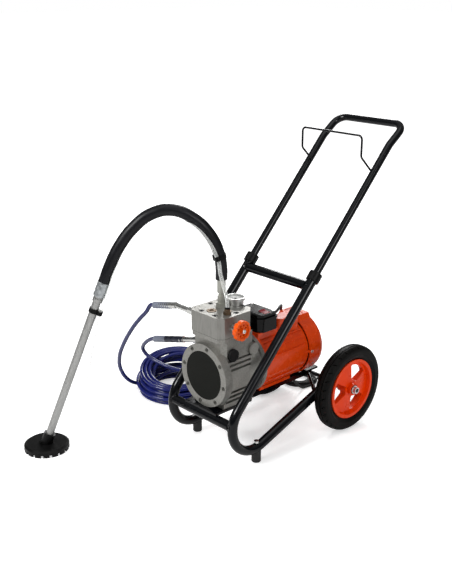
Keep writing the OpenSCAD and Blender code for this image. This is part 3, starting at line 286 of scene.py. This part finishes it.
return_route = from_axle([
    (42, -364, 427), (42, -364, 438), (40, -365, 457), (31, -367, 487), (17, -366, 520), (3, -358, 544),
    (-3, -360, 558), (-15, -376, 597), (-40, -402, 636), (-64, -422, 648), (-89, -440, 650),
    (-115, -471, 634), (-139, -499, 609), (-157, -524, 578), (-164, -548, 545), (-173, -562, 515),
    (-180, -572, 481), (-190, -580, 451), (-200, -588, 421), (-210, -596, 392), (-216, -601, 360),
    (-221, -606, 325), (-226, -613, 288), (-231, -619, 250), (-237, -625, 212), (-243, -632, 174),
    (-246, -637, 136), (-246, -639, 100)])
return_tube_d = 0.010
clear_tube = finish("clear_soft_tube", (0.74, 0.76, 0.74), (0.84, 0.85, 0.83), (0.08, 0.18),
                    scale=25, bump=0.03, bump_scale=200)
show_walls(clear_tube, through=0.22, edge=0.80)
return_tube = bent_tube("return_tube_clear", return_route, return_tube_d)
return_tube.data.materials.append(clear_tube)
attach(return_tube, "trolley")
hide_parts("return_tube")
round_sleeve("return_collar", return_route[0], (0, 0, 1), length=0.005, radius=0.0072, rings=1,
             depth=0.0006, material=moulded_black)


# ---------- High-pressure hose ----------
# Thermoplastic hose with a glossy blue cover, in one length: down from the outlet, coiled on the floor
# and up to its free end. Both ends have crimped fittings with braided guard sleeves.
def run_on(start, along, reach):
    """The point that lies straight on from start, in the direction of along."""
    return tuple(Vector(start) + reach * Vector(along).normalized())


def coil_line(centre, outer, start_deg, turn, loops, per_layer, pitch, rise, diameter,
              fan=0.0, tight_side_deg=0.0):
    """Loops that spiral in and out again, one layer up at each reversal, with straight ends.

    turn is 1 for loops that run anticlockwise and -1 for clockwise ones. The layers lie further apart,
    by up to fan, on the side away from tight_side_deg.
    """
    steps = 24  # points in each turn
    climb = 0.25  # the part of a turn, before and after each reversal, that rises to the next layer

    def point(t):
        angle = math.radians(start_deg + turn * 360 * t)
        share = t / per_layer - 2 * math.floor(t / per_layer / 2)
        radius = outer - pitch * per_layer * (share if share <= 1 else 2 - share)
        reversal = math.floor(t / per_layer + 0.5)
        past = t - reversal * per_layer
        if reversal == 0:
            layer = 0
        elif abs(past) < climb:
            layer = reversal - 0.5 + past / (2 * climb)
        else:
            layer = reversal - 1 if past < 0 else reversal
        spread = fan * (1 - math.cos(angle - math.radians(tight_side_deg))) / 2
        return (centre[0] + radius * math.cos(angle), centre[1] + radius * math.sin(angle),
                diameter / 2 + (rise + spread) * layer)

    def onward(t):
        angle = math.radians(start_deg + turn * 360 * t)
        return Vector((-turn * math.sin(angle), turn * math.cos(angle), 0))

    body = [point(i / steps) for i in range(round(loops * steps) + 1)]
    before = [run_on(body[0], -onward(0), reach * diameter) for reach in (2, 1)]
    after = [run_on(body[-1], onward(loops), reach * diameter) for reach in (1, 2)]
    return before + body + after


def paint_sheen_above_height(material, sheen_colour, low_z, high_z):
    """Turns the colour into another, paler one above a height: painted sheen on the cover's upper
    stretches.
    """
    tree = material.node_tree
    base = tree.nodes["Principled BSDF"].inputs["Base Color"]
    below = base.links[0].from_socket
    place = tree.nodes.new("ShaderNodeTexCoord")
    parts = tree.nodes.new("ShaderNodeSeparateXYZ")
    share = tree.nodes.new("ShaderNodeMapRange")
    share.inputs["From Min"].default_value = low_z
    share.inputs["From Max"].default_value = high_z
    blend = tree.nodes.new("ShaderNodeMix")
    blend.data_type = "RGBA"
    blend.inputs[7].default_value = (*sheen_colour, 1)
    tree.links.new(place.outputs["Object"], parts.inputs[0])
    tree.links.new(parts.outputs["Z"], share.inputs["Value"])
    tree.links.new(share.outputs[0], blend.inputs["Factor"])
    tree.links.new(below, blend.inputs[6])
    tree.links.new(blend.outputs[2], base)


pressure_hose_d = 0.012
hose_side_gap = 0.0008
hose_layer_gap = 0.001
hose_coil_line = coil_line(centre=(-0.372, axle_y - 0.195), outer=0.124, start_deg=200, turn=-1,
                           loops=15.375, per_layer=4, pitch=pressure_hose_d + hose_side_gap,
                           rise=pressure_hose_d + hose_layer_gap, diameter=pressure_hose_d,
                           fan=0.016, tight_side_deg=-43)
hose_lead_line = from_axle([
    (-248, -376, 363), (-260, -378, 360.5), (-270, -386, 341), (-294, -392, 314), (-318, -396, 286),
    (-341, -397, 257), (-363, -396, 228), (-384, -393, 199), (-404, -388, 170), (-422, -379, 141),
    (-437, -368, 113), (-449, -353, 86), (-456, -336, 60), (-459, -315, 37), (-463, -290, 20)])
hose_tail_line = from_axle([
    (-292, -110, 78), (-289, -124, 79), (-291, -142, 80), (-298, -168, 80), (-311, -196, 82),
    (-333, -220, 86), (-362, -236, 92), (-394, -247, 99), (-423, -256, 109), (-441, -263, 121),
    (-446, -269, 136), (-436, -275, 153), (-418, -281, 169), (-395, -285, 186),
    (-371.5, -287.2, 198.5), (-360, -288, 202)])
pressure_route = hose_lead_line + hose_coil_line + hose_tail_line
hose_cover = finish("blue_hose_cover", (0.0035, 0.0070, 0.095), (0.0055, 0.0110, 0.135), (0.15, 0.24),
                    scale=45, bump=0.03, bump_scale=700, specular_ior_level=0.35)
# Between 8 and 15 cm up the cover turns paler: painted sheen on its upper stretches.
paint_sheen_above_height(hose_cover, sheen_colour=(0.034, 0.038, 0.105), low_z=0.08, high_z=0.15)
pressure_hose = bent_tube("high_pressure_hose", pressure_route, pressure_hose_d, roundness=6)
pressure_hose.data.materials.append(hose_cover)
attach(pressure_hose, "trolley")
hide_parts("hose_lead", "hose_coil", "hose_tail")
sleeve_braid = finish("hose_sleeve_braid", (0.075, 0.085, 0.13), (0.20, 0.22, 0.27), (0.3, 0.5),
                      scale=900, bump=0.3, bump_scale=1500)
dark_fitting = finish("dark_fitting_steel", (0.012, 0.014, 0.028), (0.03, 0.032, 0.05), (0.25, 0.4),
                      scale=200, bump=0.05, metallic=0.6)
outlet_end = Vector(pressure_route[0])
outlet_run = (outlet_end - Vector(pressure_route[1])).normalized()
free_end = Vector(pressure_route[-1])
free_run = (free_end - Vector(pressure_route[-2])).normalized()
free_sleeve_len = 0.062
fitting_gap = 0.001
guard_sleeve_r = 0.0098
for name, start, along, length, rings, material in (
        ("hose_sleeve_outlet", outlet_end, outlet_run, 0.066, 9, sleeve_braid),
        ("hose_sleeve_free", free_end, free_run, free_sleeve_len, 9, sleeve_braid),
        ("hose_fitting_free", free_end + (free_sleeve_len + fitting_gap) * free_run, free_run,
         0.094, 3, dark_fitting)):
    round_sleeve(name, start, along, length, radius=guard_sleeve_r, rings=rings, depth=0.0006,
                 material=material)
nickel = finish("nickel_plate", (0.50, 0.50, 0.48), (0.62, 0.62, 0.60), (0.16, 0.3),
                scale=70, bump=0.06, bump_scale=1200, metallic=1.0)
dress(nickel, "hose_ends", "outlet_fitting", "regulator_stem")


# ---------- Mains lead ----------
# Black rubber-sheathed flexible cable from the gland, down behind the motor to a small coil on the
# floor, and on to a moulded two-pin plug.
mains_lead_d = 0.008
mains_coil_gap = 0.0007
mains_coil_line = coil_line(centre=(-0.150, axle_y + 0.135), outer=0.058, start_deg=-10, turn=1,
                            loops=5, per_layer=3, pitch=mains_lead_d + mains_coil_gap,
                            rise=mains_lead_d + mains_coil_gap, diameter=mains_lead_d)
gland_middle = node_middle("lead_gland")
gland_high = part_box("lead_gland")[1]
gland_line = [(gland_middle[0], gland_high[1], gland_middle[2])] + from_axle([
    (-8, -136, 343), (-10, -122, 346), (-16, -105, 351), (-28, -86, 348), (-46, -66, 333),
    (-66, -46, 308), (-82, -28, 278), (-92, -12, 246), (-98, 0, 212), (-101, 10, 177), (-102, 20, 142),
    (-102, 30, 107), (-101, 42, 72), (-99, 58, 40), (-97, 78, 18), (-96, 98, 5)])
plug_line = from_axle([(-98, 160, 13), (-96, 180, 17), (-94, 206, 20), (-94, 214, 20)])
mains_route = gland_line + mains_coil_line + plug_line
cable_rubber = finish("cable_rubber", (0.007, 0.007, 0.008), (0.013, 0.013, 0.014), (0.4, 0.55),
                      scale=40, bump=0.12, bump_scale=900)
mains_lead = bent_tube("mains_lead_cable", mains_route, mains_lead_d, roundness=5)
mains_lead.data.materials.append(cable_rubber)
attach(mains_lead, "trolley")
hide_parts("power_lead", "lead_coil", "plug_lead")
dress(cable_rubber, "mains_plug", "lead_gland")


# ---------- Trolley frame ----------
# Bent and welded steel tube, powder coated in glossy black: two side hoops, crossbar, brace, struts,
# base plate and axle brackets. Its feet are rubber, its nuts and base screws zinc plated.
powder_coat = finish("black_powder_coat", (0.0016, 0.0019, 0.0028), (0.0026, 0.0030, 0.0040),
                     (0.13, 0.19), scale=25, bump=0.02, bump_scale=420, specular_ior_level=0.24)
dress(powder_coat, "left_hoop", "right_hoop", "front_crossbar", "brace", "base_plate", "rear_struts",
      "axle_brackets", "handle", "hanger_rod")
hoop_low, hoop_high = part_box("right_hoop")
hoop_r = (hoop_high[0] - hoop_low[0]) / 2
hoop_x = (hoop_low[0] + hoop_high[0]) / 2


def weld_bead(name, bar, side, hoop_deg):
    """A rippled fillet weld round the end of a cross tube, where it is coped to a hoop of its own size.

    hoop_deg is how steeply the hoop runs there.
    """
    bead_r = 0.0019
    ripples, ripple_height = 40, 0.0003
    _, y, z = node_middle(bar)
    bpy.ops.object.select_all(action="DESELECT")
    bpy.ops.mesh.primitive_torus_add(major_radius=hoop_r, minor_radius=bead_r, major_segments=96,
                                     minor_segments=8, location=(side * hoop_x, y, z),
                                     rotation=(0, math.radians(90), 0))
    bead = bpy.context.object
    bead.name = name
    bpy.ops.object.transform_apply(location=True, rotation=True, scale=True)
    across = (-math.sin(math.radians(hoop_deg)), math.cos(math.radians(hoop_deg)))
    for v in bead.data.vertices:
        off = (v.co.y - y) * across[0] + (v.co.z - z) * across[1]
        turn = math.atan2(v.co.y - y, v.co.z - z)
        saddle = math.sqrt(max(hoop_r ** 2 - off ** 2, 0.0))
        v.co.x -= side * (saddle + ripple_height * math.sin(ripples * turn))
    bpy.ops.object.shade_smooth()
    bead.data.materials.append(powder_coat)
    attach(bead, "trolley")


for hand, side in (("left", -1), ("right", 1)):
    weld_bead(f"crossbar_weld_{hand}", "front_crossbar", side, hoop_deg=82)
    weld_bead(f"brace_weld_{hand}", "brace", side, hoop_deg=47)
rubber_foot = finish("foot_rubber", (0.006, 0.006, 0.006), (0.012, 0.012, 0.012), (0.55, 0.75),
                     scale=60, bump=0.2, bump_scale=900)
dress(rubber_foot, "feet")
zinc = finish("bright_zinc", (0.55, 0.55, 0.55), (0.66, 0.66, 0.64), (0.2, 0.34),
              scale=120, bump=0.08, bump_scale=1500, metallic=1.0)
dress(zinc, "axle_nuts", "frame_bolts")


# ---------- Wheels ----------
# Tyres of black rubber on moulded orange rims with three broad spokes and a deep hub, on an axle of
# blackened steel.
tyre_rubber = finish("tyre_rubber", (0.0020, 0.0018, 0.0016), (0.0044, 0.0040, 0.0036), (0.44, 0.58),
                     scale=35, bump=0.15, bump_scale=500, specular_ior_level=0.09)
dress(tyre_rubber, "tyre_left", "tyre_right")
rim_plastic = finish("orange_rim_plastic", (0.74, 0.040, 0.0), (0.82, 0.050, 0.0), (0.26, 0.36),
                     scale=25, bump=0.02, bump_scale=700, specular_ior_level=0.16)
dress(rim_plastic, "rim_left", "rim_right")
black_oxide = finish("black_oxide_steel", (0.02, 0.02, 0.022), (0.035, 0.035, 0.038), (0.3, 0.45),
                     scale=90, bump=0.08, bump_scale=1200, metallic=0.9)
dress(black_oxide, "axle")


# ---------- Handle locks ----------
# Twist-lock collars on the hoops' open ends, moulded in the same black plastic as the strainer foot.
# They grip the sliding handle.
dress(moulded_black, "collar_left", "collar_right")


# ---------- Pump body ----------
# Die-cast crankcase and cover, shot blasted and clear lacquered, with dull cover screws and a dark
# lacquered plate. Black socket screws hold the machined aluminium head block on its gasket.
casting = finish("blasted_casting", (0.19, 0.185, 0.17), (0.26, 0.255, 0.235), (0.36, 0.50),
                 scale=220, bump=0.35, bump_scale=1500, metallic=0.6)
dress(casting, "crankcase", "front_cover")
dull_screw_steel = finish("dull_screw_steel", (0.10, 0.10, 0.09), (0.19, 0.19, 0.17), (0.34, 0.46),
                          scale=200, bump=0.08, bump_scale=1500, metallic=1.0)
dress(dull_screw_steel, "cover_bolts")
head_metal = finish("brushed_head_block", (0.20, 0.196, 0.182), (0.26, 0.255, 0.237), (0.38, 0.48),
                    scale=300, stretch=(1, 1, 0.12), bump=0.16, bump_scale=1600, metallic=0.75)
dress(head_metal, "pump_head")
dress(black_oxide, "head_bolts")
plate_lacquer = finish("dark_plate_lacquer", (0.0050, 0.0053, 0.0042), (0.0068, 0.0072, 0.0058),
                       (0.40, 0.48), scale=60, bump=0.02, bump_scale=900, specular_ior_level=0.06)
dress(plate_lacquer, "cover_plate")
gasket_fibre = finish("gasket_fibre", (0.004, 0.004, 0.004), (0.008, 0.008, 0.007), (0.7, 0.85),
                      scale=500, specular_ior_level=0.1)
dress(gasket_fibre, "head_gasket")


# ---------- Pump fittings and running parts ----------
# Bronze valve plug and return fitting, a turned grey suction fitting and a black nylon oil plug. Inside
# run the steel piston and bearings.
bronze = finish("dull_bronze", (0.095, 0.066, 0.042), (0.155, 0.11, 0.07), (0.36, 0.5),
                scale=160, bump=0.2, bump_scale=1200, metallic=0.9)
dress(bronze, "valve_plug", "return_fitting")
turned_grey = finish("grey_turned_steel", (0.30, 0.30, 0.27), (0.38, 0.38, 0.34), (0.32, 0.46),
                     scale=200, stretch=(0.2, 0.2, 3), bump=0.15, bump_scale=1200, metallic=0.7)
dress(turned_grey, "suction_fitting")
plug_nylon = finish("black_plug_nylon", (0.0022, 0.0022, 0.0022), (0.0038, 0.0038, 0.0038),
                    (0.5, 0.62), scale=80, bump=0.1, bump_scale=1500, specular_ior_level=0.2)
dress(plug_nylon, "oil_plug")
machined_steel = finish("machined_steel", (0.34, 0.34, 0.35), (0.42, 0.42, 0.43), (0.25, 0.4),
                        scale=180, bump=0.1, metallic=1.0)
dress(machined_steel, "piston", "bearings")


# ---------- Gauge ----------
# A pressure gauge with a plated case lies face up on the head block, under a thin clear lens. Its dial
# is a white disc, printed with a plain scale of ticks and numbers in bar.
satin_steel = finish("satin_gauge_steel", (0.42, 0.42, 0.41), (0.50, 0.50, 0.49), (0.30, 0.38),
                     scale=120, bump=0.01, metallic=0.9)
dress(satin_steel, "gauge_case")
dress(moulded_black, "gauge_needle")
lens_glass = finish("gauge_lens_glass", (0.92, 0.94, 0.94), (0.95, 0.96, 0.96), (0.02, 0.05),
                    scale=30, bump=0.01, alpha=0.10)
dress(lens_glass, "gauge_lens")
dial_white = finish("gauge_dial_white", (0.86, 0.86, 0.84), (0.90, 0.90, 0.88), (0.4, 0.5),
                    scale=80, bump=0.02)
dial_ink = finish("gauge_dial_ink", (0.012, 0.012, 0.012), (0.02, 0.02, 0.02), (0.4, 0.5),
                  scale=80, bump=0.02)
lens_low, lens_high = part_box("gauge_lens")
dial_x, dial_y, _ = node_middle("gauge_lens")
dial_play = 0.0002
dial_r = (lens_high[0] - lens_low[0]) / 2 - dial_play
dial_below_lens = 0.0043
dial_z = lens_low[2] - dial_below_lens
dial_thick = 0.0003
dial_turn_deg = 40

bpy.ops.object.select_all(action="DESELECT")
bpy.ops.mesh.primitive_cylinder_add(vertices=72, radius=dial_r, depth=dial_thick,
                                    location=(dial_x, dial_y, dial_z + dial_thick / 2))
dial = bpy.context.object
dial.name = "gauge_dial"
bpy.ops.object.transform_apply(location=True, rotation=True, scale=True)
dial.data.materials.append(dial_white)
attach(dial, "trolley")

# The scale runs clockwise from its zero. A tick has a length and a width.
zero_deg = 225
deg_per_tick = 9
bar_per_tick = 10
ticks_per_number = 5
tick_count = 31
long_tick = (0.0030, 0.0006)
short_tick = (0.0016, 0.00035)
tick_margin = 0.0022
number_margin = 0.0082
number_height = 0.0042
ink_thick = 0.00006
ink_gap = 0.00001
ink_z = dial_z + dial_thick + ink_gap + ink_thick / 2


def on_dial(reach, angle):
    """A place in the print's plane, at a distance and an angle from the dial's middle."""
    return (dial_x + reach * math.cos(angle), dial_y + reach * math.sin(angle), ink_z)


marks = []
for count in range(tick_count):
    angle = math.radians(zero_deg - count * deg_per_tick + dial_turn_deg)
    numbered = count % ticks_per_number == 0
    tick_len, tick_wide = long_tick if numbered else short_tick
    bpy.ops.mesh.primitive_cube_add(size=1, location=on_dial(dial_r - tick_margin - tick_len / 2, angle),
                                    rotation=(0, 0, angle))
    tick = bpy.context.object
    tick.scale = (tick_len, tick_wide, ink_thick)
    marks.append(tick)
    if numbered:
        bpy.ops.object.text_add(location=on_dial(dial_r - number_margin, angle),
                                rotation=(0, 0, math.radians(dial_turn_deg)))
        number = bpy.context.object
        number.data.body = str(count * bar_per_tick)
        number.data.size = number_height
        number.data.extrude = ink_thick / 2
        number.data.align_x = "CENTER"
        number.data.align_y = "CENTER"
        bpy.ops.object.convert(target="MESH")
        marks.append(bpy.context.object)
bpy.ops.object.select_all(action="DESELECT")
for mark in marks:
    mark.select_set(True)
bpy.context.view_layer.objects.active = marks[0]
bpy.ops.object.join()
dial_print = bpy.context.object
dial_print.name = "gauge_dial_print"
bpy.ops.object.transform_apply(location=True, rotation=True, scale=True)
dial_print.data.materials.clear()
dial_print.data.materials.append(dial_ink)
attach(dial_print, "trolley")


# ---------- Pressure control ----------
# Orange moulded handwheel on a plated stem that comes out of the head block's right side. A zinc-plated
# pan-head screw holds it, of the kind that the motor's covers have too.
knob_plastic = finish("orange_handwheel_plastic", (0.66, 0.070, 0.0005), (0.74, 0.088, 0.0008),
                      (0.28, 0.4), scale=50, bump=0.04, specular_ior_level=0.2)
dress(knob_plastic, "handwheel")


def pan_head(radius):
    """The mesh of a pan-head screw's head with a cross recess, facing up from its seat."""
    thick, sunk = 0.7 * radius, 0.05 * radius
    edge_round, edge_steps, smooth_deg = 0.3 * radius, 4, 35
    recess_len, recess_wide, recess_tall, recess_z = (share * radius for share in (1.15, 0.24, 0.6, 0.72))
    bpy.ops.object.select_all(action="DESELECT")
    bpy.ops.mesh.primitive_cylinder_add(vertices=40, radius=radius, depth=thick,
                                        location=(0, 0, thick / 2 - sunk))
    head = bpy.context.object
    bpy.ops.object.transform_apply(location=True, rotation=True, scale=True)
    rounding = head.modifiers.new("rounding", "BEVEL")
    rounding.width = edge_round
    rounding.segments = edge_steps
    rounding.limit_method = "ANGLE"
    bpy.ops.object.modifier_apply(modifier="rounding")
    for turn_deg in (0, 90):
        bpy.ops.mesh.primitive_cube_add(size=1, location=(0, 0, recess_z),
                                        rotation=(0, 0, math.radians(turn_deg)))
        cutter = bpy.context.object
        cutter.scale = (recess_len, recess_wide, recess_tall)
        bpy.ops.object.transform_apply(location=True, rotation=True, scale=True)
        bpy.ops.object.select_all(action="DESELECT")
        head.select_set(True)
        bpy.context.view_layer.objects.active = head
        recess = head.modifiers.new("recess", "BOOLEAN")
        recess.operation = "DIFFERENCE"
        recess.object = cutter
        bpy.ops.object.modifier_apply(modifier="recess")
        bpy.data.objects.remove(cutter)
    bpy.ops.object.shade_smooth_by_angle(angle=math.radians(smooth_deg))
    mesh = head.data
    bpy.data.objects.remove(head)
    mesh.materials.clear()
    mesh.materials.append(zinc)
    return mesh


def fit_screw(name, head, at, outward, body="trolley"):
    """Seats a copy of a screw head at a place, facing outward."""
    mesh = head.copy()
    mesh.transform(Vector(outward).to_track_quat("Z", "Y").to_matrix().to_4x4())
    mesh.transform(Matrix.Translation(at))
    screw = bpy.data.objects.new(name, mesh)
    bpy.context.scene.collection.objects.link(screw)
    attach(screw, body)


_, knob_y, knob_z = node_middle("handwheel")
knob_face_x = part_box("handwheel")[1][0]
fit_screw("handwheel_screw", pan_head(radius=0.0055), (knob_face_x, knob_y, knob_z), (1, 0, 0),
          body="handwheel")


# ---------- Motor ----------
# Ribbed aluminium housing with a fan cover, enamelled orange; four screws hold the cover. Inside, the
# rotor and its black fan turn in a varnished stator.
motor_enamel = finish("orange_motor_enamel", (0.60, 0.043, 0.0016), (0.67, 0.054, 0.0022),
                      (0.22, 0.30), scale=35, bump=0.01, bump_scale=600, specular_ior_level=0.3)
dress(motor_enamel, "motor_housing", "fan_cover", "capacitor_cover")
winding_varnish = finish("winding_varnish", (0.32, 0.11, 0.04), (0.42, 0.16, 0.06), (0.3, 0.45),
                         scale=300)
dress(winding_varnish, "stator")
dress(moulded_black, "rotor")
shaft_z = node_middle("rotor")[2]
cover_low, cover_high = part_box("fan_cover")
cover_r = cover_high[0]
seam_y = cover_low[1]
screw_from_seam = 0.007
cover_screw = pan_head(radius=0.0042)
for label, angle_deg in (("right", 0), ("left", 180), ("lower_right", -60), ("lower_left", 240)):
    outward = (math.cos(math.radians(angle_deg)), 0, math.sin(math.radians(angle_deg)))
    at = (cover_r * outward[0], seam_y + screw_from_seam, shaft_z + cover_r * outward[2])
    fit_screw(f"fan_cover_screw_{label}", cover_screw, at, outward)


# ---------- Terminal box ----------
# Glossy black moulded box on the motor, with a lid, three lid screws and a red rocker switch in the
# lid. The lead's gland is in its back.
box_plastic = finish("glossy_box_plastic", (0.0008, 0.0008, 0.0009), (0.0014, 0.0014, 0.0015),
                     (0.12, 0.17), scale=70, bump=0.005, bump_scale=900, specular_ior_level=0.16)
dress(box_plastic, "terminal_box", "box_lid")
rocker_red = finish("red_rocker_plastic", (0.22, 0.008, 0.014), (0.28, 0.012, 0.020), (0.3, 0.4),
                    scale=60, specular_ior_level=0.2)
dress(rocker_red, "rocker_switch")
lid_low, lid_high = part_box("box_lid")
left_inset = 0.014
right_inset = 0.012
lid_screw = pan_head(radius=0.0032)
for label, x, y in (("front", lid_low[0] + left_inset, lid_low[1] + left_inset),
                    ("back", lid_low[0] + left_inset, lid_high[1] - left_inset),
                    ("right", lid_high[0] - right_inset, lid_high[1] - right_inset)):
    fit_screw(f"box_lid_screw_{label}", lid_screw, (x, y, lid_high[2]), (0, 0, 1))


# ---------- Shade ring in the fan cover ---
# A black moulded plastic ring round the fan, inside the fan cover and out of the fan's way: painted
# shade.
# It closes the view through the cover's seam, where the inside of the cover lies in shade.
shade_ring_in_cover = 0.0044
shade_ring_r = cover_r - shade_ring_in_cover
shade_ring_wide = 0.0161
shade_ring_thick = 0.0015
shade_ring_from_seam = 0.009
bpy.ops.object.select_all(action="DESELECT")
bpy.ops.mesh.primitive_cylinder_add(vertices=96, radius=shade_ring_r, depth=shade_ring_thick,
                                    end_fill_type="NGON", rotation=(math.radians(90), 0, 0),
                                    location=(0, seam_y + shade_ring_from_seam, shaft_z))
# This ring is painted shade, not a part of the motor.
shade_ring = bpy.context.object
shade_ring.name = "fan_cover_shade_ring"
bpy.ops.object.transform_apply(location=True, rotation=True, scale=True)
bpy.ops.object.mode_set(mode="EDIT")
bpy.ops.mesh.select_all(action="DESELECT")
# Both flat faces are inset, and what is left in their middles is bridged to make the hole.
mesh = bmesh.from_edit_mesh(shade_ring.data)
for face in mesh.faces:
    face.select = len(face.verts) > 4
bmesh.update_edit_mesh(shade_ring.data)
bpy.ops.mesh.inset(thickness=shade_ring_wide)
bpy.ops.mesh.bridge_edge_loops()
bpy.ops.object.mode_set(mode="OBJECT")
shade_ring.data.materials.append(moulded_black)
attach(shade_ring, "trolley")


# ---------- Studio ----------
# A wide pale floor that fades into a white backdrop, lit by four soft lights.
# What the machine reflects is grey above and dark at the sides.
def studio_floor():
    """Brighter from near the machine outwards, for the camera alone, until it meets the backdrop."""
    near, far = 0.5, 2.2
    near_glow, far_glow = 0.46, 0.95
    grey, roughness = 0.88, 0.6
    size, below_feet = 60, 0.0005
    bpy.ops.object.select_all(action="DESELECT")
    bpy.ops.mesh.primitive_plane_add(size=size, location=(0, 0, -below_feet))
    floor = bpy.context.object
    floor.name = "studio_floor"
    paint = bpy.data.materials.new("studio_floor")
    paint.use_nodes = True
    tree = paint.node_tree
    shader = tree.nodes["Principled BSDF"]
    shader.inputs["Base Color"].default_value = (grey, grey, grey, 1)
    shader.inputs["Roughness"].default_value = roughness
    shader.inputs["Emission Color"].default_value = (1, 1, 1, 1)
    place = tree.nodes.new("ShaderNodeTexCoord")
    away = tree.nodes.new("ShaderNodeVectorMath")
    away.operation = "LENGTH"
    glow = tree.nodes.new("ShaderNodeMapRange")
    glow.inputs["From Min"].default_value = near
    glow.inputs["From Max"].default_value = far
    glow.inputs["To Min"].default_value = near_glow
    glow.inputs["To Max"].default_value = far_glow
    seen = tree.nodes.new("ShaderNodeMath")
    seen.operation = "MULTIPLY"
    path = tree.nodes.new("ShaderNodeLightPath")
    tree.links.new(place.outputs["Object"], away.inputs[0])
    tree.links.new(away.outputs["Value"], glow.inputs["Value"])
    tree.links.new(glow.outputs[0], seen.inputs[0])
    tree.links.new(path.outputs["Is Camera Ray"], seen.inputs[1])
    tree.links.new(seen.outputs[0], shader.inputs["Emission Strength"])
    floor.data.materials.append(paint)


def studio_world():
    """White behind the machine, for the camera alone; the heights are those of a unit direction."""
    side_height, top_height = 0.1, 0.9
    side_light, top_light = 0.07, 0.40
    world = bpy.data.worlds.new("studio")
    world.use_nodes = True
    tree = world.node_tree
    backdrop = tree.nodes["Background"]
    backdrop.inputs["Color"].default_value = (1, 1, 1, 1)
    backdrop.inputs["Strength"].default_value = 1.0
    surroundings = tree.nodes.new("ShaderNodeBackground")
    surroundings.inputs["Color"].default_value = (1, 1, 1, 1)
    direction = tree.nodes.new("ShaderNodeTexCoord")
    parts = tree.nodes.new("ShaderNodeSeparateXYZ")
    height = tree.nodes.new("ShaderNodeMapRange")
    height.inputs["From Min"].default_value = side_height
    height.inputs["From Max"].default_value = top_height
    height.inputs["To Min"].default_value = side_light
    height.inputs["To Max"].default_value = top_light
    tree.links.new(direction.outputs["Generated"], parts.inputs[0])
    tree.links.new(parts.outputs["Z"], height.inputs["Value"])
    tree.links.new(height.outputs[0], surroundings.inputs["Strength"])
    path = tree.nodes.new("ShaderNodeLightPath")
    choice = tree.nodes.new("ShaderNodeMixShader")
    tree.links.new(path.outputs["Is Camera Ray"], choice.inputs[0])
    tree.links.new(surroundings.outputs[0], choice.inputs[1])
    tree.links.new(backdrop.outputs[0], choice.inputs[2])
    tree.links.new(choice.outputs[0], tree.nodes["World Output"].inputs[0])
    bpy.context.scene.world = world


studio_floor()
studio_world()
for name, at, aim_z, size, watts in (("key_light", (-0.6, -3.2, 2.6), 0.3, 1.1, 120),
                                     ("fill_light", (3.4, -0.6, 2.2), 0.3, 1.4, 45),
                                     ("rim_light", (-2.4, 2.6, 2.6), 0.4, 1.2, 70),
                                     ("top_light", (0.3, -0.2, 3.4), 0.3, 2.2, 22)):
    light = bpy.data.lights.new(name, "AREA")
    light.size = size
    light.energy = watts
    lamp = bpy.data.objects.new(name, light)
    lamp.location = at
    lamp.rotation_euler = (Vector((0, 0, aim_z)) - Vector(at)).to_track_quat("-Z", "Y").to_euler()
    bpy.context.scene.collection.objects.link(lamp)
bpy.context.scene.view_settings.view_transform = "Standard"
